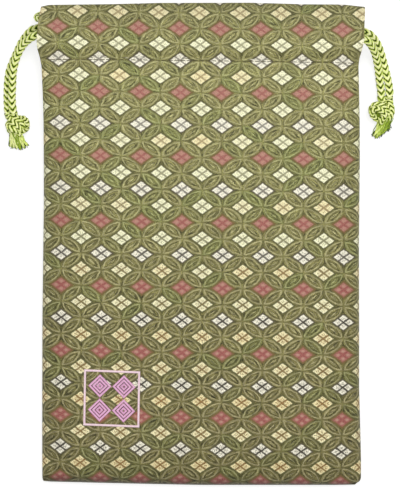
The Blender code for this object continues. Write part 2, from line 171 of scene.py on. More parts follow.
# Cords: two drawcords of braided rayon, whose slanted yarn bundles meet in chevrons.
# Each runs through both casings, and its two ends come out at one side, where they are knotted together.
CHEVRON_PITCH = 0.0031
CHEVRON_SLOPE = 0.95  # how many pitches a bundle climbs from the side of the braid to its middle
GROOVE_DEPTH = 0.00070
CREST_RADIUS = 0.00208
CASING_CREST = 0.00188  # where a cord is squeezed inside its casing
GAP_FAINTEST = 0.50  # share of the gaps' painted shade that is left halfway between a braid's middle and its side
RING_SPACING = 0.00017
RING_POINTS = 40
LOOP_SPACING = 0.00036
LOOP_POINTS = 28
HALF_HEIGHT = 0.120
EXIT_X = 0.079
LOOP_END_X = 0.0769  # where a cord's loop ends and its free strands begin, inside the casing's end
SWING_LENGTH = 0.006  # over this much a free strand bends where it leaves its casing
FRONT_CENTRE = 0.0135
BACK_CENTRE = 0.0029
LEFT_EXIT = (-EXIT_X, 0.1085)
RIGHT_EXIT = (EXIT_X, 0.1067)
LEFT_FRONT_DROP = 0.0035  # how much lower than behind a cord leaves in front
RIGHT_FRONT_DROP = 0.0037

# Points of the free strands: outwards and up from the exit behind, and height above the table
LEFT_FRONT_ROUTE = [
    (0.0033, -0.0039, 0.0130), (0.0064, -0.0053, 0.0114), (0.0091, -0.0072, 0.0092),
    (0.0110, -0.0093, 0.0076), (0.0125, -0.0117, 0.0065), (0.0138, -0.0146, 0.0060),
    (0.0147, -0.0175, 0.0058), (0.0154, -0.0205, 0.0056), (0.0158, -0.0241, 0.0054),
    (0.0160, -0.0290, 0.0052), (0.0162, -0.0345, 0.0051), (0.0159, -0.0391, 0.0050),
    (0.0152, -0.0432, 0.0049),
]
LEFT_BACK_ROUTE = [
    (0.0032, 0.0003, 0.0029), (0.0060, -0.0006, 0.0026), (0.0082, -0.0025, 0.0022),
    (0.0102, -0.0051, 0.0020), (0.0120, -0.0081, 0.0020), (0.0138, -0.0121, 0.0020),
    (0.0157, -0.0164, 0.0020), (0.0173, -0.0205, 0.0020), (0.0181, -0.0245, 0.0020),
    (0.0185, -0.0295, 0.0020), (0.0186, -0.0345, 0.0020), (0.0184, -0.0395, 0.0020),
    (0.0181, -0.0432, 0.0020),
]
RIGHT_FRONT_ROUTE = [
    (0.0031, -0.0044, 0.0127), (0.0055, -0.0064, 0.0106), (0.0075, -0.0095, 0.0079),
    (0.0088, -0.0131, 0.0054), (0.0097, -0.0171, 0.0037), (0.0102, -0.0211, 0.0028),
    (0.0107, -0.0255, 0.0026), (0.0113, -0.0297, 0.0026), (0.0117, -0.0339, 0.0027),
]
RIGHT_BACK_ROUTE = [
    (0.0034, 0.0000, 0.0029), (0.0061, -0.0015, 0.0026), (0.0082, -0.0039, 0.0022),
    (0.0099, -0.0069, 0.0020), (0.0112, -0.0103, 0.0020), (0.0123, -0.0143, 0.0020),
    (0.0134, -0.0185, 0.0020), (0.0144, -0.0227, 0.0020), (0.0152, -0.0267, 0.0020),
    (0.0156, -0.0302, 0.0022), (0.0153, -0.0335, 0.0025),
]

# Braid: soft yellow-green, with a painted highlight that makes it almost white where a bundle faces the
# light, and painted shade that makes it dark olive between bundles.
# A bundle's yarns, a quarter of a millimetre apart, run along it and give it a silky streak.
BRAID_TONES = [
    (0.03, "#FFFFC8"), (0.90, "#1E2C00"), (0.14, "#F2FB9E"), (0.25, "#CCDC60"),
    (0.38, "#8AA02A"), (0.54, "#405000"),
]
BRAID_GREEN = "#C8E05A"
YARN_STREAKS = (9.0, 1.3, 1.0)  # across a bundle, and in a quarter turn round the cord
PATCH_SCALE = 420.0  # greener patches, 2.4 mm across
SHADE_SPECKLE_SCALE = 1100.0  # speckles, 0.9 mm across, in the painted shade of the gaps

braid_yarn, tree, shader = finish_of("braided rayon cord", roughness=0.5, specular=0.2)
weave = add(tree, "UVMap", uv_map="weave")
yarns = add(tree, "VectorMath MULTIPLY", weave, YARN_STREAKS)
streak = add(tree, "TexNoise", yarns, None, 1.0, 3.0, 0.6)
patch = add(tree, "TexNoise", add(tree, "TexCoord", out=3), None, PATCH_SCALE, 2.0, 0.5)
shade_speckle = add(tree, "TexNoise", add(tree, "TexCoord", out=3), None, SHADE_SPECKLE_SCALE, 2.0, 0.5)
groove = add(tree, "Attribute", attribute_name="groove", out=2)
# Painted shade of the gaps, deeper or fainter in speckles.
groove = add(tree, "Math MULTIPLY", groove, add(tree, "MapRange", shade_speckle, 0.30, 0.70, 1.5, 0.6))
groove = add(tree, "Math ADD", groove, add(tree, "MapRange", streak, 0.36, 0.52, 0.12, 0.0))
# Painted shade in the knots, where the braid is pulled tight: darker speckles.
tight = add(tree, "Attribute", attribute_name="tight", out=2)
dark = add(tree, "MapRange", shade_speckle, 0.52, 0.70, 0.0, 0.2)
groove = add(tree, "Math MULTIPLY_ADD", tight, dark, groove)
tone = add(tree, "ValToRGB", groove, stops=BRAID_TONES)
green = add(tree, "MapRange", patch, 0.45, 0.75, 0.0, 0.5)
tone = add(tree, "MixRGB", green, tone, BRAID_GREEN, blend_type="MULTIPLY")
tree.links.new(tone, shader.inputs["Base Color"])
tree.links.new(add(tree, "Bump", 0.5, 0.0001, None, streak), shader.inputs["Normal"])


def unit(vectors):
    return vectors / np.maximum(np.linalg.norm(vectors, axis=-1, keepdims=True), 1e-12)


def measured(line):
    """How far along a line each of its points lies."""
    return np.concatenate([[0.0], np.cumsum(np.linalg.norm(np.diff(line, axis=0), axis=1))])


def evenly(line, spacing):
    """Points at even steps along a finer line, read off by its length."""
    along = measured(line)
    at = np.linspace(0, along[-1], max(3, round(along[-1] / spacing) + 1))
    return np.stack([np.interp(at, along, line[:, k]) for k in range(3)], axis=1)


def smooth_line(points, spacing):
    """A Catmull-Rom curve: each stretch is a cubic that starts and ends along its neighbours' direction."""
    route = np.array(points, float)
    ends = np.vstack([2 * route[0] - route[1], route, 2 * route[-1] - route[-2]])
    t = np.linspace(0, 1, 24, endpoint=False)[:, None]
    a, b, c, d = (ends[k:len(ends) - 3 + k][:, None] for k in range(4))
    cubic = (3 * b - 3 * c + d - a) * t**3 + (2 * a - 5 * b + 4 * c - d) * t**2 + (c - a) * t + 2 * b
    return evenly(np.vstack([(cubic / 2).reshape(-1, 3), route[-1:]]), spacing)


def surface(name, points, finish, body, uv=None, around=False, loop=False, shares=None):
    """Makes one piece from a grid of points, or from many grids of one size.

    Each point is joined to the next in its row and its column. around joins a row's ends, loop joins the
    last row to the first, and the ends of a tube are closed. uv has one column more where around is set.
    shares are numbers per point, for the material. The face is on the side from which rows go up and
    columns go right.
    """
    points = np.asarray(points, float)
    points = points.reshape(-1, *points.shape[-3:])
    copies, n, m = points.shape[:3]
    i, j = np.meshgrid(np.arange(n if loop else n - 1), np.arange(m if around else m - 1), indexing="ij")
    corner = ((0, 0), (0, 1), (1, 1), (1, 0))
    quads = np.stack([(i + a) % n * m + (j + b) % m for a, b in corner], -1).reshape(-1, 4)
    quads = (quads[None] + (np.arange(copies) * n * m)[:, None, None]).reshape(-1, 4)
    caps = []
    if around and not loop:
        ring = np.arange(m)
        caps = [(ring[::-1] + k * n * m).tolist() for k in range(copies)]
        caps += [(ring + (k + 1) * n * m - m).tolist() for k in range(copies)]
    mesh = bpy.data.meshes.new(name)
    mesh.from_pydata(points.reshape(-1, 3).tolist(), [], quads.tolist() + caps)
    mesh.polygons.foreach_set("use_smooth", np.ones(len(mesh.polygons), bool))
    if uv is not None:
        uv = np.asarray(uv, float)
        uv = uv.reshape(-1, *uv.shape[-3:])
        tall, wide = uv.shape[1:3]
        read = np.stack([(i + a) % tall * wide + j + b for a, b in corner], -1).reshape(-1, 4)
        read = (read[None] + (np.arange(copies) * tall * wide)[:, None, None]).ravel()
        per_corner = np.zeros((len(mesh.loops), 2))
        per_corner[:len(read)] = uv.reshape(-1, 2)[read]
        mesh.uv_layers.new(name="weave").data.foreach_set("uv", per_corner.ravel())
    for label, values in (shares or {}).items():
        mesh.attributes.new(label, "FLOAT", "POINT").data.foreach_set("value", np.ravel(values))
    mesh.materials.append(finish)
    piece = bpy.data.objects.new(name, mesh)
    bpy.context.scene.collection.objects.link(piece)
    if body:
        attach(piece, body)
    return piece


def rings_about(line, up, ring_points):
    """Unit vectors of rings round a line: the first of each ring points up, as far as the line lets it."""
    along = unit(np.gradient(line, axis=-2))
    side = unit(np.cross(along, np.broadcast_to(np.asarray(up, float), line.shape)))
    out = np.cross(side, along)
    turn = np.linspace(0, 2 * math.pi, ring_points, endpoint=False)[:, None]
    return np.cos(turn) * out[..., None, :] + np.sin(turn) * side[..., None, :]


def braid(name, line, up, body, crest, ring_points=RING_POINTS, pitch=CHEVRON_PITCH, tight=0.0):
    """A braided cord along a line, made of rings.

    A ring is a circle that falls into a groove wherever two bundles meet. A bundle's number is how far
    along the cord it is, in pitches, plus the slope times the turn from the nearest chevron's middle,
    so the bundles meet in a V on the side that faces up and again on the side that faces down.
    """
    turn = np.linspace(0, 2 * math.pi, ring_points, endpoint=False)
    leg = abs((turn / (math.pi / 2) + 1) % 2 - 1)
    bundle = measured(line)[:, None] / pitch + CHEVRON_SLOPE * leg
    hollow = (1 - abs(np.sin(math.pi * bundle))) ** 1.5
    radius = np.reshape(crest, (-1, 1)) * (1 - GROOVE_DEPTH / CREST_RADIUS * hollow)
    points = line[:, None] + radius[..., None] * rings_about(line, up, ring_points)
    wide = np.append(bundle, bundle[:, :1], axis=1)
    uv = np.stack([wide, np.broadcast_to(np.linspace(0, 4, ring_points + 1), wide.shape)], -1)
    # Painted shade: the groove share darkens the gaps, most at the chevrons' points on top and at the braid's
    # sides.
    deep = hollow * (GAP_FAINTEST + (1 - GAP_FAINTEST) * abs(np.cos(math.pi * leg)))
    shares = {"groove": deep, "tight": np.full(deep.shape, tight)}
    return surface(name, points, braid_yarn, body, uv=uv, around=True, shares=shares)


def free_strand(name, side, corner, drop, route, height, knot_points):
    """One free strand, from inside its casing to its knot, with its line, which goes on through the knot.

    It is squeezed inside the casing and full from SWING_LENGTH on, and lies no deeper than on the table.
    """
    steps = [(LOOP_END_X - EXIT_X, -drop, height), (0.0, -drop, height), *route]
    points = [(corner[0] + side * out, corner[1] + rise, level) for out, rise, level in steps]
    line = smooth_line(points + knot_points, RING_SPACING)
    last = np.argmin(np.linalg.norm(line - points[-1], axis=1))
    line[:last + 1, 2] = np.maximum(line[:last + 1, 2], CREST_RADIUS)
    crest = np.interp(measured(line[:last + 1]), (0, SWING_LENGTH), (CASING_CREST, CREST_RADIUS))
    piece = braid(name + "_braid", line[:last + 1], (0, 0, 1), None, crest)
    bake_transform(piece)
    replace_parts(piece, name)
    return piece, line, last


# Knots: both strands of a cord tied together in one overhand knot, pulled tight and pressed flat. The strands
# lie side by side in one band, which goes round on itself and comes out below, over a filling of like braid.
KNOT_CREST = 0.00165
KNOT_BAND_HALF = 0.00140  # half the spacing of the two strands in the knot
KNOT_PITCH = 0.0022  # the braid's chevrons lie closer where it is pulled tight
KNOT_TAPER = 0.004
FILLING_SHADE = 0.4  # how much painted shade the filling has, as a share of the painted shade in a gap between bundles
LEFT_KNOT_CENTRE = np.array([-0.0924, 0.0602, 0.0039])
RIGHT_KNOT_CENTRE = np.array([0.0908, 0.0668, 0.0039])
LEFT_KNOT_CORE = (0.0040, 0.0028, 0.0024)
RIGHT_KNOT_CORE = (0.0046, 0.0036, 0.0024)

# Middle line of the band: across, up and towards the viewer from the knot's centre, in the order it is tied
LEFT_KNOT_BAND = [
    (-0.0020, 0.0026, 0.0019), (0.0006, 0.0004, 0.0024), (0.0028, -0.0018, 0.0017),
    (0.0046, -0.0004, 0.0001), (0.0034, 0.0019, -0.0014), (0.0004, 0.0020, -0.0022),
    (-0.0030, 0.0006, -0.0018), (-0.0043, -0.0016, -0.0001), (-0.0025, -0.0028, 0.0013),
    (-0.0004, -0.0036, 0.0004), (0.0000, -0.0052, -0.0004),
]
RIGHT_KNOT_BAND = [
    (0.0040, 0.0034, -0.0006), (0.0046, 0.0000, -0.0004), (0.0032, -0.0030, -0.0012),
    (0.0000, -0.0038, -0.0020), (-0.0034, -0.0026, -0.0012), (-0.0054, 0.0000, 0.0004),
    (-0.0036, 0.0024, 0.0018), (0.0000, 0.0014, 0.0024), (0.0020, -0.0012, 0.0018),
    (0.0010, -0.0036, 0.0006), (-0.0002, -0.0056, -0.0004),
]


def ease(value):
    """Smooth step: 0 up to 0, 1 from 1 on, and level at both ends."""
    near = np.clip(value, 0, 1)
    return near * near * (3 - 2 * near)


def knot_line(centre, band, share):
    """The points of one strand of a knot: the band's, moved across the band by share of its half."""
    middle = np.array(band)
    across = unit(np.cross(unit(np.gradient(middle, axis=0)), unit(middle)))
    return [tuple(p) for p in centre + middle + across * KNOT_BAND_HALF * share]


def knot_strand(name, line, last, centre, body, replaced):
    """One strand's way through the knot: over KNOT_TAPER it turns its face outwards and draws tight."""
    way = line[last:].copy()
    drawn = ease(measured(way) / KNOT_TAPER)[:, None]
    up = unit((1 - drawn) * np.array([0, 0, 1.0]) + drawn * unit(way - centre))
    crest = CREST_RADIUS + (KNOT_CREST - CREST_RADIUS) * drawn
    way[:, 2] = np.maximum(way[:, 2], crest[:, 0])
    piece = braid(name, way, up, body, crest, pitch=KNOT_PITCH, tight=1.0)
    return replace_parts(piece, replaced)


def ball(name, centre, half, finish, body):
    """A closed ellipsoid on a grid of latitude and longitude, whose end rings are all but points."""
    rise = np.linspace(math.pi - 0.02, 0.02, 16)[:, None]
    turn = np.linspace(0, 2 * math.pi, 24, endpoint=False)[None]
    globe = np.stack([np.sin(rise) * np.cos(turn), np.sin(rise) * np.sin(turn), np.cos(rise) + 0 * turn], -1)
    # The filling has painted shade like a gap between bundles, and the knots' darker speckles.
    shares = {"groove": np.full(globe.shape[:2], FILLING_SHADE), "tight": np.ones(globe.shape[:2])}
    return surface(name, centre + globe * np.array(half), finish, body, around=True, shares=shares)


# Frayed ends: below the knot the braid comes undone into 144 loose yarns a side.
# They keep together in locks and end ragged. Each lock is painted lighter along its middle and darker where
# it
# # meets the next, as painted highlight and painted shade.
YARN_RADIUS = 0.00023
YARN_RINGS = 12
YARN_SIDES = 5
YARNS_IN_LOCK = 24
LOCK_HALF = 0.00062  # spread of a lock's yarns at its end
TIP_SPREAD = 0.0003  # how far they end before or past each other
YARN_WAVE = 0.00016  # how far a yarn waves off its way
YARN_BOW = 1.4  # a yarn goes sideways by this power of its way, so that it bows out
OPENING = 0.3  # share of a lock's sidestep that its yarns take inside the knot already
KNOT_LOW, KNOT_CROWN = 0.0008, 0.0050  # level of outer yarns at the knot, and of middle ones above that
TIP_LOW, TIP_CROWN = 0.0004, 0.0030  # the same at a lock's tip

# Each lock's tip from the knot's centre, across and up in millimetres, and the painted light on the lock,
# which makes
# # some locks painted highlights and others painted shade
LEFT_TASSEL = dict(
    locks=(
        (-3.6, -11.0, 1.1), (-2.0, -11.9, 1.3), (-0.3, -12.2, 1.1),
        (1.5, -12.4, 0.45), (3.1, -11.9, 1.0), (4.8, -11.0, 0.8),
    ),
    start=(-0.0008, -0.0034), wide=0.0046, ragged=0.0006, seed=5,
)
RIGHT_TASSEL = dict(
    locks=(
        (-4.1, -12.3, 0.9), (-2.9, -13.3, 0.7), (-1.4, -12.5, 0.5),
        (0.4, -11.2, 0.5), (2.1, -9.9, 0.42), (3.7, -8.6, 0.35),
    ),
    start=(0.0014, -0.0034), wide=0.0062, ragged=0.0002, seed=8,
)
FLECK_SCALE = 900.0  # flecks along the yarns, 1.1 mm across
YARN_TONES = [(0.10, "#223200"), (0.84, "#FAFFB4"), (0.28, "#6C880C"), (0.44, "#A8C430"), (0.62, "#E8F684")]

loose_yarn, tree, shader = finish_of("frayed rayon yarn", roughness=0.5, specular=0.35, sheen=0.2)
# The yarn attribute holds each yarn's painted light and shade, with a little random tone.
own = add(tree, "Attribute", attribute_name="yarn", out=2)
fleck = add(tree, "TexNoise", add(tree, "TexCoord", out=3), None, FLECK_SCALE, 2.0, 0.5)
mixed = add(tree, "Math ADD", add(tree, "Math MULTIPLY", own, 0.85), add(tree, "Math MULTIPLY", fleck, 0.15))
tree.links.new(add(tree, "ValToRGB", mixed, stops=YARN_TONES), shader.inputs["Base Color"])
tree.links.new(add(tree, "Bump", 0.4, 0.0001, None, fleck), shader.inputs["Normal"])


def frayed_end(name, centre, tassel, body, replaced, half):
    """Yarns as thin tubes: each starts in the knot, bows out towards its lock's tip and sinks to the table.

    How high a yarn lies, and how bright it is painted, go by a bell curve of its distance from its lock's
    middle: a painted highlight along the middle and painted shade where locks meet. half keeps every other
    lock, so that the two cord ends of a knot are pieces of their own.
    """
    chance = np.random.default_rng(tassel["seed"] + half)
    locks = np.repeat(np.array(tassel["locks"][half::2]), YARNS_IN_LOCK, axis=0)
    end, painted_light = locks[:, :2] / 1000, locks[:, 2]
    yarns = len(end)
    apart = chance.normal(0, LOCK_HALF, yarns)
    end = end + np.stack([apart, chance.normal(0, TIP_SPREAD, yarns)], -1)
    end[:, 1] += abs(chance.normal(0, tassel["ragged"], yarns))
    start = np.array(tassel["start"]) + np.outer(chance.uniform(-1, 1, yarns), (tassel["wide"] / 2, 0))
    start[:, 0] += (end[:, 0] - end[:, 0].mean()) * OPENING
    t = np.linspace(0, 1, YARN_RINGS)[None, :, None]
    plan = start[:, None] + (end - start)[:, None] * t
    plan[..., 0] += (end - start)[:, :1] * (t**YARN_BOW - t)[..., 0]
    plan += chance.normal(0, YARN_WAVE, (yarns, 1, 2)) * np.sin(t * chance.uniform(6, 12, (yarns, 1, 1)))
    middle = np.exp(-(apart / LOCK_HALF) ** 2)
    tall = KNOT_LOW + KNOT_CROWN * middle[:, None] * chance.uniform(0.7, 1.0, (yarns, 1))
    level = tall + (TIP_LOW + TIP_CROWN * middle[:, None] - tall) * t[..., 0] ** 0.8
    line = np.concatenate([plan + centre[:2], level[..., None]], axis=2)
    thick = YARN_RADIUS * chance.uniform(0.8, 1.25, (yarns, 1, 1, 1))
    thick = thick * np.linspace(1, 0.7, YARN_RINGS)[:, None, None]
    points = line[:, :, None] + thick * rings_about(line, (0, 0, 1), YARN_SIDES)
    # Painted light: bright along a lock's middle, painted shade at its edges, times the lock's painted light,
    # with a little random tone.
    own = (0.05 + 0.9 * middle**1.5 * chance.uniform(0.8, 1.0, yarns)) * painted_light
    shares = {"yarn": np.repeat(own, YARN_RINGS * YARN_SIDES)}
    piece = surface(name, points, loose_yarn, body, around=True, shares=shares)
    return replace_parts(piece, replaced)


def whole_cord(name, side, corner, drop, routes, centre, band, core, tassel):
    """One cord's free strands, its knot and its frayed ends."""
    body = name + "_end"
    filling = ball(name + "_knot_filling", centre, core, braid_yarn, body)
    runs = (
        ("front", "inner", drop, routes[0], FRONT_CENTRE, -1),
        ("back", "outer", 0.0, routes[1], BACK_CENTRE, 1),
    )
    for number, (label, tuft, lower, route, height, share) in enumerate(runs):
        strand = f"{name}_{label}_strand"
        knot_points = knot_line(centre, band, share)
        piece, line, last = free_strand(strand, side, corner, lower, route, height, knot_points)
        turns = knot_strand(f"{name}_knot_{label}_turns", line, last, centre, body, name + "_knot")
        ends = frayed_end(f"{name}_{tuft}_frayed_end", centre, tassel, body, f"{name}_{tuft}_tuft", number)


whole_cord(
    "left_cord", -1, LEFT_EXIT, LEFT_FRONT_DROP, (LEFT_FRONT_ROUTE, LEFT_BACK_ROUTE),
    LEFT_KNOT_CENTRE, LEFT_KNOT_BAND, LEFT_KNOT_CORE, LEFT_TASSEL,
)
whole_cord(
    "right_cord", 1, RIGHT_EXIT, RIGHT_FRONT_DROP, (RIGHT_FRONT_ROUTE, RIGHT_BACK_ROUTE),
    RIGHT_KNOT_CENTRE, RIGHT_KNOT_BAND, RIGHT_KNOT_CORE, RIGHT_TASSEL,
)

# The rest of each cord, out of sight: along the front casing, round in a bight at its far end,
# and back along the back casing. Runs are measured down from the bag's top edge.
BIGHT_X = 0.0744
BIGHT_REACH = 0.0053
LEFT_RUN = dict(exit=0.0115, drop=LEFT_FRONT_DROP, front=0.0205, back=0.0220, show=-0.0016)
RIGHT_RUN = dict(exit=0.0133, drop=RIGHT_FRONT_DROP, front=0.0080, back=0.0043, show=0.0026)


def cord_loop(cord, side, run):
    """A cord's loop: a straight run in each casing, joined by half an ellipse that stands on end."""
    near, far = side * LOOP_END_X, side * -(BIGHT_X + run["show"])
    front, back, out = (HALF_HEIGHT - run[part] for part in ("front", "back", "exit"))
    turn = np.linspace(0, math.pi, 48)
    swing = (1 + np.cos(turn)) / 2
    bight = np.stack([
        far - side * BIGHT_REACH * np.sin(turn), back + (front - back) * swing,
        BACK_CENTRE + (FRONT_CENTRE - BACK_CENTRE) * swing,
    ], axis=1)
    ease_in = np.linspace(0, 1, 60)[:, None]
    run_in = np.array([near, out - run["drop"], FRONT_CENTRE]) * (1 - ease_in) + bight[0] * ease_in
    run_out = bight[-1] * (1 - ease_in) + np.array([near, out, BACK_CENTRE]) * ease_in
    line = evenly(np.vstack([run_in, bight[1:-1], run_out]), LOOP_SPACING)
    piece = braid(cord + "_loop_braid", line, (0, 0.3, 1), cord, CASING_CREST, ring_points=LOOP_POINTS)
    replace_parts(piece, cord + "_loop")


cord_loop("left_cord", -1, LEFT_RUN)
cord_loop("right_cord", 1, RIGHT_RUN)


# Outer cloth: one length of jacquard brocade a side, 0.8 mm thick, which lies a little unevenly. It is sewn
# at the sides and the bottom and turned right side out, and its top edge is folded in and stitched down as a
# casing.
HALF_WIDTH = 0.079
BROCADE_THICKNESS = 0.0008
BODY_LEVEL = 0.0144
CROWN = 0.0008
SIDE_ROLL = 0.024
BOTTOM_ROLL = 0.026
STITCH_Y = 0.093
CASING_DEPTH = 0.027
STITCH_ROLL = 0.018
SEAM_LEVEL = 0.0026
SEAM_RISE_LENGTH = 0.065
SLIT_LEVEL = 0.0082
CASING_HALF = 0.0029  # half of the casing's thickness
CASING_RISE = 0.0065  # above the stitching, the casing's wall swells over this much
SLIT_CURL = 0.0075  # above the stitching, the casing's open end flattens over this much
FACING_NARROWS = 0.80  # the folded-in hem ends short of the slits
SEAM_CREASE = 0.0001
CORNER_ROUND = 0.003
STEEP_EDGE = 0.0016  # nearer to the edge than this, the pattern follows the cloth round it
CASING_BLUNT = 0.77  # power of the superellipse round the casing's top edge, where an ellipse has 1
PUCKER = 0.00016  # the cloth puckers along the stitching, by this height, pitch and reach
PUCKER_PITCH = 0.0072
PUCKER_REACH = 0.005
SWELL = 0.00030  # the cloth's swells, by this height, and each one's share, radians a metre, and start
SWELLS = ((0.4, 61, 23, 0.6), (0.5, 27, -49, 2.1), (0.25, 17, 83, 0.0))
COLUMNS = 130
PANEL_ROWS = 170
TURN_ROWS = 14

# The bag's real outline, which is a little out of square: y, and x at the left and at the right
OUTLINE = np.array([
    (-0.1206, -0.0800, 0.0802), (-0.1065, -0.0801, 0.0802), (-0.0720, -0.0801, 0.0793),
    (-0.0375, -0.0800, 0.0793), (-0.0030, -0.0796, 0.0792), (0.0200, -0.0793, 0.0794),
    (0.0430, -0.0793, 0.0796), (0.0620, -0.0793, 0.0794), (0.0775, -0.0797, 0.0790),
    (0.0895, -0.0802, 0.0787), (0.0935, -0.0810, 0.0792), (0.0975, -0.0820, 0.0802),
    (0.1015, -0.0823, 0.0812), (0.1095, -0.0817, 0.0813), (0.1175, -0.0804, 0.0817),
    (0.1200, -0.0798, 0.0813),
])
TOP_EDGE = np.array([
    (-0.0800, 0.1186), (-0.0755, 0.1197), (-0.0440, 0.1201), (-0.0215, 0.1207),
    (0.0235, 0.1208), (0.0505, 0.1200), (0.0685, 0.1199), (0.0800, 0.1186),
])
BOTTOM_EDGE = np.array([
    (-0.0790, -0.1189), (-0.0755, -0.1192), (-0.0485, -0.1199), (-0.0215, -0.1205),
    (0.0000, -0.1209), (0.0685, -0.1209), (0.0790, -0.1207),
])
STITCH_LINE = np.array([(-0.0800, 0.0930), (-0.0400, 0.0928), (0.0400, 0.0918), (0.0800, 0.0911)])


def roll(distance, width):
    """A quarter ellipse: 0 at the edge and 1 from width inwards."""
    return np.sqrt(1 - (1 - np.clip(distance / width, 0, 1)) ** 2)


def seam_level(y):
    """Height of the side seam, which climbs towards the slit so that its end lies halfway up."""
    return SEAM_LEVEL + (SLIT_LEVEL - SEAM_LEVEL) * ease((y - STITCH_Y + SEAM_RISE_LENGTH) / SEAM_RISE_LENGTH)


def unevenness(x, y):
    """Slight swells of cloth that has been folded and handled: three waves, 7 to 11 cm long, added up."""
    return SWELL * sum(share * np.sin(x * a + y * b + start) for share, a, b, start in SWELLS)


def front_level(x, y):
    """Height of the front's outer face away from its edges: crowned, uneven, drawn in at the stitching."""
    below = STITCH_Y - y
    stitched = FRONT_CENTRE + BROCADE_THICKNESS / 2
    crown = CROWN * np.cos(math.pi / 2 * x / HALF_WIDTH) * np.cos(math.pi / 2 * y / HALF_HEIGHT)
    level = stitched + (BODY_LEVEL + BROCADE_THICKNESS + crown - stitched) * ease(below / STITCH_ROLL)
    return level + unevenness(x, y) * ease(below / STITCH_ROLL)


def back_level(y):
    """Height of the back's outer face away from its edges: flat on the table, drawn in at the stitching."""
    return (BACK_CENTRE - BROCADE_THICKNESS / 2) * (1 - ease((STITCH_Y - y) / STITCH_ROLL))


def casing_swell(up):
    """How far a casing's wall is from its middle, as a share of half its thickness: a quarter sine wave.

    up is the way from the stitching, as a share of the casing's depth.
    """
    return np.sin(math.pi / 2 * np.clip(up * CASING_DEPTH / CASING_RISE, 0, 1)) ** 0.9


def cloth_side(front):
    """Points and cloth coordinates of the front or back brocade, from its bottom seam to its folded-in hem.

    Rows go up the panel, on over the casing's outer wall, round the top edge and down its inner wall. The
    panel's height is a quarter ellipse from the seams up to the flat middle, and falls again towards the
    stitching. The casing swells from the stitching, goes round the top edge as a superellipse and comes back
    inside. Puckers are a sine wave along the stitching that dies away from it. Rows and columns lie closer
    together near the edges.
    """
    across = np.linspace(-1, 1, COLUMNS)
    across = np.sign(across) * (1 - (1 - abs(across)) ** 1.6)
    way = np.linspace(0, 1, PANEL_ROWS)
    panel = 0.5 * way**1.7 + 0.5 * (1 - (1 - way) ** 1.3)
    rise = np.linspace(0, 1, TURN_ROWS)[1:]
    fold = np.linspace(math.pi / 2, -math.pi / 2, 2 * TURN_ROWS)[1:]
    fall = rise[::-1] - rise[0]
    up = np.concatenate([rise / 2, 0.5 + 0.5 * abs(np.cos(fold)) ** CASING_BLUNT, fall / 2])
    swell = np.sign(fold) * abs(np.sin(fold)) ** CASING_BLUNT
    swell = np.concatenate([casing_swell(rise / 2), swell, -casing_swell(fall / 2)])
    outside = PANEL_ROWS + len(rise) + TURN_ROWS - 1
    folded_in = np.append(np.zeros(outside), np.linspace(0, 3, PANEL_ROWS + len(up) - outside))
    narrow = 1 - (1 - FACING_NARROWS) * ease(folded_in)[:, None]

    share_x = across * narrow
    flat_x = share_x * HALF_WIDTH
    stitch, top, bottom = (np.interp(flat_x, *line.T) for line in (STITCH_LINE, TOP_EDGE, BOTTOM_EDGE))
    on_panel = np.arange(len(narrow))[:, None] < PANEL_ROWS
    part = np.append(panel, up)[:, None]
    y = np.where(on_panel, bottom + part * (stitch - bottom), stitch + part * (top - stitch))
    left, right = (np.interp(y, OUTLINE[:, 0], OUTLINE[:, k]) for k in (1, 2))
    corner = CORNER_ROUND * (1 - roll(y + HALF_HEIGHT, CORNER_ROUND))
    x = (left + right) / 2 + share_x * ((right - left) / 2 - corner)

    flat_y = np.append(panel * (STITCH_Y + HALF_HEIGHT) - HALF_HEIGHT, STITCH_Y + up * CASING_DEPTH)
    flat_y = flat_y[:, None] + 0 * x
    below = STITCH_Y - flat_y
    edge = seam_level(flat_y)
    opened = ease(-below / SLIT_CURL)
    share = 1 - (1 - roll(HALF_WIDTH - abs(flat_x), SIDE_ROLL)) * (1 - opened)
    share = share * roll(flat_y + HALF_HEIGHT, BOTTOM_ROLL)
    puffed = CASING_HALF * np.append(np.zeros(PANEL_ROWS), swell)[:, None]
    pucker = PUCKER * np.sin(x * 2 * math.pi / PUCKER_PITCH + 2 * np.sin(x * 90))
    pucker = pucker * np.exp(-abs(below) / PUCKER_REACH)
    if front:
        level = np.where(on_panel, front_level(flat_x, flat_y), FRONT_CENTRE + puffed)
        level = level + pucker * (on_panel | (puffed > 0))
        z = edge + SEAM_CREASE + (level - edge - SEAM_CREASE) * share
    else:
        level = np.where(on_panel, back_level(flat_y), BACK_CENTRE - puffed)
        z = edge - SEAM_CREASE + (level - edge + SEAM_CREASE) * share
    points = np.stack([x, y, z], -1)
    turned_in = np.arange(1, len(points))[:, None] > outside - TURN_ROWS // 2
    return points, *along_cloth(points, flat_x, flat_y, opened, turned_in)


def along_cloth(points, flat_x, flat_y, opened, turned_in):
    """How far across and up the cloth each point lies: the steps between points, added up along the grid.

    A step counts as it is seen from above. Round the steep sides and bottom, and from the top edge on
    inwards, it counts by its length in the cloth.
    """
    step = np.diff(points, axis=1)
    near = HALF_WIDTH - abs(flat_x[:, 1:] + flat_x[:, :-1]) / 2 < STEEP_EDGE
    run = step[..., 0] + (np.linalg.norm(step, axis=-1) - step[..., 0]) * near * (1 - opened[:, 1:])
    u = np.pad(np.cumsum(run, axis=1), ((0, 0), (1, 0)))
    half = COLUMNS // 2
    u = u - u[:, half:half + 1] + points[:, half:half + 1, 0]
    step = np.diff(points, axis=0)
    steep = turned_in | (flat_y[1:] + HALF_HEIGHT <= STEEP_EDGE)
    run = np.where(steep, np.linalg.norm(step, axis=-1), step[..., 1])
    v = np.pad(np.cumsum(run, axis=0), ((1, 0), (0, 0)))
    half = PANEL_ROWS // 2
    return u, v - v[half] + points[half, :, 1]


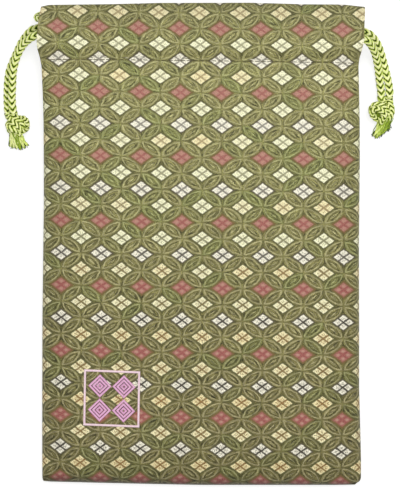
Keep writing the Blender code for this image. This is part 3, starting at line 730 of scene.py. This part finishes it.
def lattice(u, v):
    """The weave's count of motifs across and down, at a place on the cloth: the pitch is 10.1 by 8.1 mm.

    Squares and products let the lines of motifs lean and bow a little, as they do on cloth cut by hand.
    """
    a, b = u / 0.080, v / 0.120
    across = 5.96 + 0.016 * b + 0.133 * b * b + 7.924 * a - 0.051 * a * b - 0.012 * a * a
    down = 14.335 - 14.725 * b - 0.021 * b * b - 0.152 * b**3 - 0.176 * a + 0.041 * a * b + 0.055 * a * a
    return np.stack([across, down], -1)


# Brocade: a silky jacquard of overlapping rings on an olive ground. Pale wefts float in a thin line inside
# each ring's rim and in broken streaks along its petals, and every ring holds a lozenge of four cells. Yarns
# are drawn about half a millimetre apart, some three times as coarse as real, so that they show.
GROUND_TONES = [
    (-0.42, "#7E7A48"), (0.30, "#A8A474"), (-0.16, "#6B6736"), (-0.08, "#646034"), (-0.03, "#6D6A39"),
    (0.03, "#86834F"), (0.06, "#A8A473"), (0.09, "#B6B282"), (0.12, "#96925D"), (0.15, "#726E3D"),
    (0.20, "#73703F"), (0.24, "#8B8857"), (0.275, "#A8A474"),
]
CROSSING = "#87834E"
CREAM, CREAM_FLECK, CREAM_CROSS, CREAM_RIM = "#FFFDD6", "#B9B384", "#7A774E", "#605E38"
GOLD, GOLD_FLECK, GOLD_CROSS = "#F8E8AE", "#B98F55", "#9A7440"
WHITE, WHITE_FLECK, WHITE_CROSS, WHITE_RIM = "#FFFAE4", "#ADA592", "#484236", "#5C563F"
RED, RED_LOW, RED_FLECK, RED_CROSS, RED_RIM = "#B58473", "#A3675C", "#CDA592", "#9E5C56", "#7A633C"
GLARE_WASH = "#918D5E"
GREENER = "#DCF2D2"
LOZENGE_WIDE = 0.505  # half of a lozenge, in motifs
LOZENGE_TALL = 0.456
WOBBLES = 8.0  # in a motif: each line of the pattern wobbles, by a twentieth of a motif at most
WOBBLE_REACH = (0.10, 0.10, 0.0)
STREAKS_ALONG, STREAKS_ACROSS = 2.4, 19.0  # in a motif: each is 3 mm long and half a millimetre wide
GRAINS = (21.0, 17.0, 1.0)  # in a motif: each is half a millimetre across
TWILL = (214.0, 171.0, 0.0)  # radians in a motif: a line every 0.3 mm across and down

brocade, tree, shader = finish_of("silk-like jacquard brocade", roughness=0.62, specular=0.25, sheen=0.1)
place = add(tree, "UVMap", uv_map="weave")
wobble = add(tree, "TexNoise", place, None, WOBBLES, 2.0, 0.6, out=1)
wobble = add(tree, "VectorMath SUBTRACT", wobble, (0.5, 0.5, 0.5))
wobble = add(tree, "VectorMath MULTIPLY", wobble, WOBBLE_REACH)
cloth = add(tree, "VectorMath ADD", place, wobble)
parts = add(tree, "SeparateXYZ", cloth).node.outputs
u, v = parts[0], parts[1]
slant = add(tree, "Math MULTIPLY", add(tree, "Math ADD", u, v), 0.5)
other = add(tree, "Math MULTIPLY", add(tree, "Math SUBTRACT", u, v), 0.5)
slant_number = add(tree, "Math ROUND", slant)
other_number = add(tree, "Math ROUND", other)
slant_rest = add(tree, "Math SUBTRACT", slant, slant_number)
other_rest = add(tree, "Math SUBTRACT", other, other_number)
x = add(tree, "Math ABSOLUTE", add(tree, "Math ADD", slant_rest, other_rest))
y = add(tree, "Math ABSOLUTE", add(tree, "Math SUBTRACT", slant_rest, other_rest))
row = add(tree, "Math FLOORED_MODULO", add(tree, "Math SUBTRACT", slant_number, other_number), 4.0)
number = add(tree, "CombineXYZ", slant_number, other_number, 3.0)
chance = add(tree, "TexWhiteNoise", number, noise_dimensions="3D")
petal = add(tree, "TexWhiteNoise", add(tree, "VectorMath FLOOR", cloth), noise_dimensions="3D")
# low_down is 0 down to about a quarter of the bag's height and 1 from about four fifths of it on. The
# lozenges' marks that follow it are painted glare near the top and painted shade lower down.
low_down = add(tree, "MapRange", v, 8.0, 24.0, 0.0, 1.0)

# Rings: one minus the distance from the point where four rings cross, which is steady along each rim
far_x = add(tree, "Math POWER", add(tree, "Math SUBTRACT", 1.0, x), 2.0)
far_y = add(tree, "Math POWER", add(tree, "Math SUBTRACT", 1.0, y), 2.0)
rim = add(tree, "Math SUBTRACT", 1.0, add(tree, "Math SQRT", add(tree, "Math ADD", far_x, far_y)))
lowest, highest = GROUND_TONES[0][0], GROUND_TONES[1][0]
stops = [((at - lowest) / (highest - lowest), code) for at, code in GROUND_TONES]
tone = add(tree, "ValToRGB", add(tree, "MapRange", rim, lowest, highest, 0.0, 1.0), stops=stops)
# Painted glare: near the top the ground's pattern is washed towards one even olive.
tone = add(tree, "MixRGB", add(tree, "MapRange", v, 6.0, 20.0, 0.30, 0.0), tone, GLARE_WASH)
along = add(tree, "Math SUBTRACT", x, y)
crossing = add(tree, "MapRange", add(tree, "Math ABSOLUTE", along), 0.80, 0.96, 0.0, 0.8)
tone = add(tree, "MixRGB", crossing, tone, CROSSING)

# Yarns: streaks that follow each petal and a grain all over. Painted shade makes the cloth darker towards its
# bottom edge and the lozenges' grain deeper lower down. The ground is browner low down, and a petal here and
# there is greener.
seed = add(tree, "Math MULTIPLY", add(tree, "Math ADD", petal, chance), 30.0)
lengthwise = add(tree, "Math MULTIPLY", along, STREAKS_ALONG)
crosswise = add(tree, "Math MULTIPLY", rim, STREAKS_ACROSS)
streaks = add(tree, "TexNoise", add(tree, "CombineXYZ", lengthwise, crosswise, seed), None, 1.0, 1.0, 0.5)
grain = add(tree, "TexNoise", add(tree, "VectorMath MULTIPLY", place, GRAINS), None, 1.0, 1.0, 0.5)
speck = add(tree, "MapRange", streaks, 0.25, 0.75, 0.15, 1.85)
coarse = add(tree, "MapRange", grain, 0.25, 0.75, 0.40, 1.64)
# Painted shade: the grain's darkest specks grow deeper lower down.
fine = add(tree, "MapRange", grain, 0.30, 0.52, add(tree, "MapRange", low_down, 0.0, 1.0, 0.55, 0.30), 1.06)
shade = add(tree, "Math MULTIPLY", speck, coarse)
calm = add(tree, "Math ABSOLUTE", add(tree, "Math SUBTRACT", rim, 0.07))
calm = add(tree, "MapRange", calm, 0.02, 0.07, 0.50, 1.0)
shade = add(tree, "Math MULTIPLY_ADD", add(tree, "Math SUBTRACT", shade, 1.0), calm, 1.0)
# Painted shade: a little lighter near the top and darker towards the bottom edge.
shade = add(tree, "Math MULTIPLY", shade, add(tree, "MapRange", v, 6.0, 27.0, 1.03, 0.76))
brown = add(tree, "Math MULTIPLY", shade, add(tree, "MapRange", v, 10.0, 24.0, 1.0, 0.94))
tone = add(tree, "MixRGB", 1.0, tone, add(tree, "CombineXYZ", shade, brown, shade), blend_type="MULTIPLY")
green = add(tree, "MapRange", petal, 0.65, 0.95, 0.0, 0.5)
tone = add(tree, "MixRGB", green, tone, GREENER, blend_type="MULTIPLY")

# Lozenge: its outline, its cross and the fleck in the middle of each of its four cells. Near the top the
# cross and flecks are painted fainter, as painted glare.
wide = add(tree, "Math DIVIDE", x, LOZENGE_WIDE)
tall = add(tree, "Math DIVIDE", y, LOZENGE_TALL)
reach = add(tree, "Math ADD", wide, tall)
inside = add(tree, "MapRange", reach, 0.95, 1.07, 1.0, 0.0)
outline = add(tree, "MapRange", reach, 1.18, 1.34, 1.0, 0.0)
apart = add(tree, "Math ABSOLUTE", add(tree, "Math SUBTRACT", wide, tall))
cross = add(tree, "MapRange", apart, 0.07, 0.24, add(tree, "MapRange", low_down, 0.0, 0.6, 0.72, 1.0), 0.0)
at = add(tree, "CombineXYZ", wide, tall, 0.0)
fleck = add(
    tree, "Math MINIMUM", add(tree, "VectorMath DISTANCE", at, (0.5, 0.0, 0.0), out=1),
    add(tree, "VectorMath DISTANCE", at, (0.0, 0.5, 0.0), out=1),
)
fleck = add(tree, "MapRange", fleck, 0.08, 0.26, 1.0, 0.0)
fleck = add(tree, "Math MULTIPLY", fleck, add(tree, "MapRange", grain, 0.40, 0.62, 1.0, 0.15))
fleck = add(tree, "Math MULTIPLY", fleck, add(tree, "MapRange", low_down, 0.0, 0.8, 0.35, 1.0))


def by_row(plain, white, red):
    """A colour of the lozenges, which differs in the rows of white and of brick red thread."""
    mixed = add(tree, "MixRGB", is_white, plain, white)
    return add(tree, "MixRGB", is_red, mixed, red)


# Thread of each lozenge: rows of cream and gold, brick red, cream, and white follow each other. Lower down
# the lozenges are painted more golden and the red ones darker, as painted shade.
is_red = add(tree, "Math COMPARE", row, 1.0, 0.5)
is_white = add(tree, "Math COMPARE", row, 3.0, 0.5)
is_first = add(tree, "Math COMPARE", row, 0.0, 0.5)
golden = add(tree, "Math MULTIPLY", is_first, add(tree, "MapRange", chance, 0.3, 0.9, 0.0, 0.7))
golden_most = add(tree, "Math MULTIPLY_ADD", is_first, 0.3, 0.55)
golden = add(tree, "Math MAXIMUM", golden, add(tree, "MapRange", low_down, 0.40, 0.85, 0.0, golden_most))
golden = add(tree, "Math MAXIMUM", golden, add(tree, "MapRange", v, 0.5, 1.0, 0.6, 0.0))
red = add(tree, "MixRGB", low_down, RED, RED_LOW)
cell = by_row(add(tree, "MixRGB", golden, CREAM, GOLD), WHITE, red)
fleck_tone = by_row(add(tree, "MixRGB", golden, CREAM_FLECK, GOLD_FLECK), WHITE_FLECK, RED_FLECK)
cell = add(tree, "MixRGB", fleck, cell, fleck_tone)
cross_tone = by_row(add(tree, "MixRGB", golden, CREAM_CROSS, GOLD_CROSS), WHITE_CROSS, RED_CROSS)
cell = add(tree, "MixRGB", cross, cell, cross_tone)
brown_edge = add(tree, "Math MULTIPLY", is_red, add(tree, "MapRange", reach, 0.84, 1.02, 0.0, 0.55))
cell = add(tree, "MixRGB", brown_edge, cell, RED_RIM)
red_grain = add(tree, "Math MULTIPLY", is_red, add(tree, "Math POWER", coarse, 0.6))
fine = add(tree, "Math MAXIMUM", fine, red_grain)
cell = add(tree, "MixRGB", 1.0, cell, add(tree, "CombineXYZ", fine, fine, fine), blend_type="MULTIPLY")
tone = add(tree, "MixRGB", outline, tone, by_row(CREAM_RIM, WHITE_RIM, RED_RIM))
tone = add(tree, "MixRGB", inside, tone, cell)

# Threads: a fine twill that runs across the whole cloth. Painted shade darkens the cloth's turns over its top
# and bottom edges.
twill = add(tree, "Math SINE", add(tree, "VectorMath DOT_PRODUCT", place, TWILL, out=1))
twill = add(tree, "Math MULTIPLY_ADD", twill, 0.04, 1.0)
# Painted shade: darkest round the bottom edge's turn, and darker along the top edge.
painted_edge_shade = add(tree, "MapRange", v, 28.75, 29.25, 1.0, 0.45)
painted_edge_shade = add(tree, "Math MULTIPLY", painted_edge_shade, add(tree, "MapRange", v, -0.6, 1.3, 0.78, 1.0))
twill_and_edge_shade = add(tree, "Math MULTIPLY", twill, painted_edge_shade)
tone = add(tree, "MixRGB", 1.0, tone, add(tree, "CombineXYZ", twill_and_edge_shade, twill_and_edge_shade, twill_and_edge_shade), blend_type="MULTIPLY")
tree.links.new(tone, shader.inputs["Base Color"])
raised = add(tree, "Math MULTIPLY_ADD", add(tree, "RGBToBW", tone), 0.7, twill)
tree.links.new(add(tree, "Bump", 0.6, 0.00015, None, raised), shader.inputs["Normal"])


def thicken(piece, thickness, offset=-1):
    """Gives a sheet its thickness, behind its face at an offset of -1 and half on either side of it at 0."""
    cloth = piece.modifiers.new("Thickness", "SOLIDIFY")
    cloth.thickness = thickness
    cloth.offset = offset


def brocade_piece(name, front, replaced):
    """One side's outer cloth with its thickness. The back's grid is turned round, so that it faces down."""
    points, u, v = cloth_side(front)
    if not front:
        points, u, v = points[:, ::-1], -u[:, ::-1], v[:, ::-1]
    piece = surface(name, points, brocade, "bag", uv=lattice(u, v))
    thicken(piece, BROCADE_THICKNESS)
    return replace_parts(piece, *replaced)


front_cloth = brocade_piece("front_brocade", True, ("outer_front", "front_casing"))
back_cloth = brocade_piece("back_brocade", False, ("outer_back", "back_casing"))


# Lining: two panels of plain red satin, smaller than the brocade. They follow the insides of its walls,
# a little slack, and meet in seams of their own inside the brocade's.
LINING_INSET = 0.0068
LINING_THICKNESS = 0.0004
LINING_ROOM = 0.0005
LINING_SLACK = 0.00015
LINING_CREASE = 0.00015
LINING_RED, LINING_SHEEN, LINING_SHADE = "#94363C", "#B4545A", "#8A3038"
WARP_SCALE = (2600.0, 160.0, 160.0)  # warp threads, 0.4 mm wide and 6 mm long
CLOUD_SCALE = 45.0  # shadier patches, 2 cm across

satin, tree, shader = finish_of("plain satin lining", roughness=0.38, specular=0.5, sheen=0.1)
place = add(tree, "TexCoord", out=3)
warp = add(tree, "TexNoise", add(tree, "VectorMath MULTIPLY", place, WARP_SCALE), None, 1.0, 2.0, 0.5)
cloud = add(tree, "TexNoise", place, None, CLOUD_SCALE, 2.0, 0.5)
tone = add(tree, "ValToRGB", warp, stops=[(0.30, LINING_RED), (0.70, LINING_SHEEN)])
tone = add(tree, "MixRGB", add(tree, "MapRange", cloud, 0.35, 0.7, 0.0, 0.5), tone, LINING_SHADE)
tree.links.new(tone, shader.inputs["Base Color"])
tree.links.new(add(tree, "Bump", 0.4, 0.0001, None, warp), shader.inputs["Normal"])


def lining_panel(name, front, replaced):
    """A panel's grid over the bag's plan, lifted to its wall's inside and closed to its seam at the edges."""
    across, up = np.meshgrid(np.linspace(-1, 1, 90), np.linspace(-1, 1, 120))
    half = HALF_WIDTH - LINING_INSET
    low, high = LINING_INSET - HALF_HEIGHT, STITCH_Y - LINING_ROOM
    x = half * np.sin(math.pi / 2 * across)
    y = (low + high) / 2 + (high - low) / 2 * np.sin(math.pi / 2 * up)
    share = roll(half - abs(x), SIDE_ROLL) * roll(y - low, BOTTOM_ROLL)
    slack = LINING_SLACK * (1 + np.sin(x * 290 + 2 * np.sin(y * 75)) * np.cos(y * 160 - x * 50))
    away = BROCADE_THICKNESS + LINING_ROOM + slack
    wall = front_level(x, y) - away if front else back_level(y) + away
    edge = seam_level(y) + (LINING_CREASE if front else -LINING_CREASE)
    points = np.stack([x, y, edge + (wall - edge) * share], -1)
    piece = surface(name, points if front else points[:, ::-1], satin, "bag")
    thicken(piece, LINING_THICKNESS)
    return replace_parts(piece, replaced)


back_lining = lining_panel("back_lining_panel", False, "lining_back")
front_lining = lining_panel("front_lining_panel", True, "lining_front")


# Seams: the brocade's raw allowances, pressed together inside the bag's sides and bottom,
# and a bar tack of nine wraps of thread that ends each side seam at the slit for the cords.
ALLOWANCE_WIDTH = 0.0044
ALLOWANCE_THICKNESS = 0.0006
SIDE_INSET = 0.0016
BOTTOM_INSET = 0.0030
TACK_MIDDLE = (0.0775, 0.09365)
TACK_HALF = (0.00055, 0.0014)  # half of a wrap along the bag and through its thickness
TACK_WRAPS = 9
TACK_PITCH = 0.00031
TACK_THREAD = 0.00017
TACK_RINGS = 24
THREAD_SIDES = 8
EDGE_SCALE = (2400.0, 700.0, 700.0)  # cut yarns, 0.4 mm wide and 1.4 mm long
PLY_TURNS = (6.283, 18.85, 0.0)  # radians: one wave for each turn of the plies, and three round the thread

raw_edge, tree, shader = finish_of("raw brocade seam allowance", roughness=0.8, specular=0.2)
yarn = add(tree, "VectorMath MULTIPLY", add(tree, "TexCoord", out=3), EDGE_SCALE)
yarn = add(tree, "TexNoise", yarn, None, 1.0, 2.0, 0.5)
tone = add(tree, "ValToRGB", yarn, stops=[(0.30, "#5A5633"), (0.70, "#8A8458")])
tree.links.new(tone, shader.inputs["Base Color"])
tree.links.new(add(tree, "Bump", 0.5, 0.0001, None, yarn), shader.inputs["Normal"])

twisted, tree, shader = finish_of("twisted polyester thread", roughness=0.55, specular=0.3)
weave = add(tree, "UVMap", uv_map="weave")
ply = add(tree, "Math SINE", add(tree, "VectorMath DOT_PRODUCT", weave, PLY_TURNS, out=1))
height = add(tree, "MapRange", ply, -1.0, 1.0, 0.0, 1.0)
# Painted shade: the thread is darker down in the grooves between its plies.
tone = add(tree, "ValToRGB", height, stops=[(0.0, "#3B3620"), (1.0, "#6E6842")])
tree.links.new(tone, shader.inputs["Base Color"])
tree.links.new(add(tree, "Bump", 0.5, 0.00005, None, ply), shader.inputs["Normal"])


def seam_allowance(name, start, end, across, replaced):
    """A strip from start to end and as wide as across, which climbs with the seam and waves a little."""
    along, over = np.meshgrid(np.linspace(0, 1, 80), np.linspace(0, 1, 5), indexing="ij")
    x, y = (start[k] + (end[k] - start[k]) * along + across[k] * over for k in (0, 1))
    wave = 0.00008 * over * np.sin(along * 60 + over)
    strip = surface(name, np.stack([x, y, seam_level(y) + wave], -1), raw_edge, "bag")
    thicken(strip, ALLOWANCE_THICKNESS, offset=0)
    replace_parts(strip, replaced)


def thread_uv(copies, rings, turns):
    """Weave coordinates of threads alike: the plies' turns up to each ring, and the way round the ring."""
    grid = np.meshgrid(np.linspace(0, turns, rings), np.linspace(0, 1, THREAD_SIDES + 1), indexing="ij")
    uv = np.stack(grid, -1)
    return np.broadcast_to(uv, (copies, *uv.shape))


def bar_tack(name, side, replaced):
    """Closed loops of thread side by side: each is a tube along an ellipse that stands on end."""
    turn = np.linspace(0, 2 * math.pi, TACK_RINGS, endpoint=False)[:, None]
    out = np.stack([0 * turn, np.cos(turn), np.sin(turn)], -1)
    ring = np.linspace(0, 2 * math.pi, THREAD_SIDES, endpoint=False)[None, :, None]
    offset = TACK_THREAD * (np.cos(ring) * out - np.sin(ring) * np.array([1.0, 0, 0]))
    loop = out * np.array([0, *TACK_HALF]) + offset
    step = (np.arange(TACK_WRAPS) - (TACK_WRAPS - 1) / 2) * TACK_PITCH
    spots = np.stack([side * TACK_MIDDLE[0] + step, 0 * step + TACK_MIDDLE[1], 0 * step + SLIT_LEVEL], -1)
    points = spots[:, None, None] + loop
    uv = thread_uv(TACK_WRAPS, TACK_RINGS, turns=8)
    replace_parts(surface(name, points, twisted, "bag", uv=uv, around=True, loop=True), replaced)


for side, label in ((-1, "left"), (1, "right")):
    foot = (side * (HALF_WIDTH - SIDE_INSET), BOTTOM_INSET - HALF_HEIGHT)
    head = (foot[0], STITCH_Y - SIDE_INSET)
    inwards = (-side * ALLOWANCE_WIDTH, 0)
    seam_allowance(label + "_seam_allowance", foot, head, inwards, label + "_side_seam")
    bar_tack(label + "_bar_tack", side, label + "_slit_tack")
foot = (SIDE_INSET + ALLOWANCE_WIDTH - HALF_WIDTH, BOTTOM_INSET - HALF_HEIGHT)
seam_allowance("bottom_seam_allowance", foot, (-foot[0], foot[1]), (0, ALLOWANCE_WIDTH), "bottom_seam")


# Stitching: one row of lockstitch along each casing's folded edge, in thread a little darker than the cloth.
# Each stitch sinks into the brocade at both ends.
STITCH_PITCH = 0.0031
STITCH_SHARE = 0.86  # of the pitch that one stitch covers
STITCH_RADIUS = 0.00019
STITCH_RISE = 0.00016
STITCH_REACH = 0.0765
STITCH_INSET = 0.0005
STITCH_RINGS = 12


def stitch_row(name, front, replaced):
    """Short tubes on the cloth: each bows out by half a sine wave and narrows towards its ends."""
    face = cloth_side(front)[0][PANEL_ROWS - 1]
    count = round(2 * STITCH_REACH / STITCH_PITCH)
    t = np.linspace(0, 1, STITCH_RINGS)
    x = (np.arange(count)[:, None] - (count - 1) / 2 + (t - 0.5) * STITCH_SHARE) * STITCH_PITCH
    bow = (np.sin(math.pi * t) ** 0.6 - 0.5) * STITCH_RISE * (1 if front else -1)
    y, z = (np.interp(x, face[:, 0], face[:, k]) for k in (1, 2))
    line = np.stack([x, y - STITCH_INSET, z + bow], -1)
    thick = STITCH_RADIUS * (1 - 0.6 * abs(2 * t - 1) ** 4)[:, None, None]
    points = line[:, :, None] + thick * rings_about(line, (0, 0, 1), THREAD_SIDES)
    uv = thread_uv(count, STITCH_RINGS, turns=7)
    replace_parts(surface(name, points, twisted, "bag", uv=uv, around=True), replaced)


stitch_row("front_stitches", True, "front_casing_stitching")
stitch_row("back_stitches", False, "back_casing_stitching")


# Embroidery: a square of pink satin stitch near the lower left corner, with four diamonds in it.
# Threads lie side by side across each bar, and stand about half a millimetre above the brocade.
EMBLEM_MIDDLE = (-0.0448, -0.0768)
EMBLEM_TILT_DEG = (-2.2, -0.9)  # of its bars across and up, which aren't quite square to each other
FRAME_REACH = 0.01909  # from the middle to a corner
DIAMOND_STEP = 0.0060
DIAMOND_REACHES = (0.0051, 0.0032, 0.0013)
FRAME_BAR = 0.00054  # half of a bar's width
DIAMOND_BAR = 0.00060
SATIN_RISE = 0.00050
SATIN_THREAD = 0.00034
BAR_SIDES = 12


def satin_floss(name, low, middle, high, shade_tone):
    """Rayon floss: tones along each thread, with painted shade where two threads meet and at the bars' sides.
    """
    made, tree, shader = finish_of(name, roughness=0.4, specular=0.35)
    weave = add(tree, "VectorMath MULTIPLY", add(tree, "UVMap", uv_map="weave"), (1.0, 0.6, 1.0))
    strand = add(tree, "TexNoise", weave, None, 2.0, 2.0, 0.6)
    tone = add(tree, "ValToRGB", strand, stops=[(0.30, low), (0.70, high), (0.50, middle)])
    groove = add(tree, "Attribute", attribute_name="groove", out=2)
    tone = add(tree, "MixRGB", groove, tone, shade_tone)
    tree.links.new(tone, shader.inputs["Base Color"])
    tree.links.new(add(tree, "Bump", 0.4, 0.00008, None, strand), shader.inputs["Normal"])
    return made


pale_floss = satin_floss("pale pink rayon floss", "#FFCCDC", "#FFEAF0", "#FFFFFF", "#E8A4C0")
pink_floss = satin_floss("pink rayon floss", "#F8A4D8", "#FFC4EA", "#FFECFA", "#783A5C")


def embroider(name, floss, middle, reaches, start_deg, half_bar, side_shade, replaced):
    """Squares of satin stitch inside each other, each of four mitred bars, laid on the front's face.

    A bar's section is a low arch, notched between threads. At a distance in from the bar's middle, its line
    is shorter by that distance at both ends.
    """
    turn = np.radians(start_deg + 90 * np.arange(4))
    corners = np.array(middle) + np.multiply.outer(reaches, np.stack([np.cos(turn), np.sin(turn)], -1))
    side = np.roll(corners, -1, axis=1) - corners
    length = np.linalg.norm(side, axis=-1)[..., None, None]
    threads = round(length.max() / SATIN_THREAD)
    number = np.linspace(0, threads, threads * 4 + 1)[:, None]
    turn = np.linspace(0, 2 * math.pi, BAR_SIDES, endpoint=False)
    inwards = half_bar * np.cos(turn)
    hollow = (1 - abs(np.sin(math.pi * number))) ** 2 + 0 * turn
    rise = SATIN_RISE * (0.25 + 0.75 * np.sin(turn) * (1 - 0.25 * hollow))
    along = (inwards + number / threads * (length - 2 * inwards))[..., None]
    ahead = side[..., None, None, :] / length[..., None]
    left = np.stack([-ahead[..., 1], ahead[..., 0]], -1)
    plan = corners[..., None, None, :] + ahead * along + left * inwards[:, None]
    across, up = np.radians(EMBLEM_TILT_DEG)
    x = EMBLEM_MIDDLE[0] + plan[..., 0] * np.cos(across) - plan[..., 1] * np.sin(up)
    y = EMBLEM_MIDDLE[1] + plan[..., 0] * np.sin(across) + plan[..., 1] * np.cos(up)
    points = np.stack([x, y, front_level(x, y) + rise], -1)
    uv = np.stack(np.broadcast_arrays(number, np.linspace(0, 2, BAR_SIDES + 1)), -1)
    uv = np.broadcast_to(uv, (*plan.shape[:2], *uv.shape))
    # Painted shade: darker in the notches between threads and down the bars' sides.
    groove = np.clip(0.5 * hollow + side_shade * abs(np.cos(turn)) ** 5, 0, 1)
    shares = {"groove": np.broadcast_to(groove, plan.shape[:-1])}
    piece = surface(name, points, floss, "bag", uv=uv, around=True, shares=shares)
    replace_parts(piece, replaced)


embroider("embroidered_frame", pale_floss, (0, 0), [FRAME_REACH], 225, FRAME_BAR, 0.3, "emblem_frame")
for number, (right, up) in enumerate(((-1, 1), (1, 1), (-1, -1), (1, -1))):
    middle = (right * DIAMOND_STEP, up * DIAMOND_STEP)
    name = f"embroidered_diamond_{number + 1}"
    replaced = f"emblem_diamond_{number + 1}"
    embroider(name, pink_floss, middle, DIAMOND_REACHES, 180, DIAMOND_BAR, 1.0, replaced)
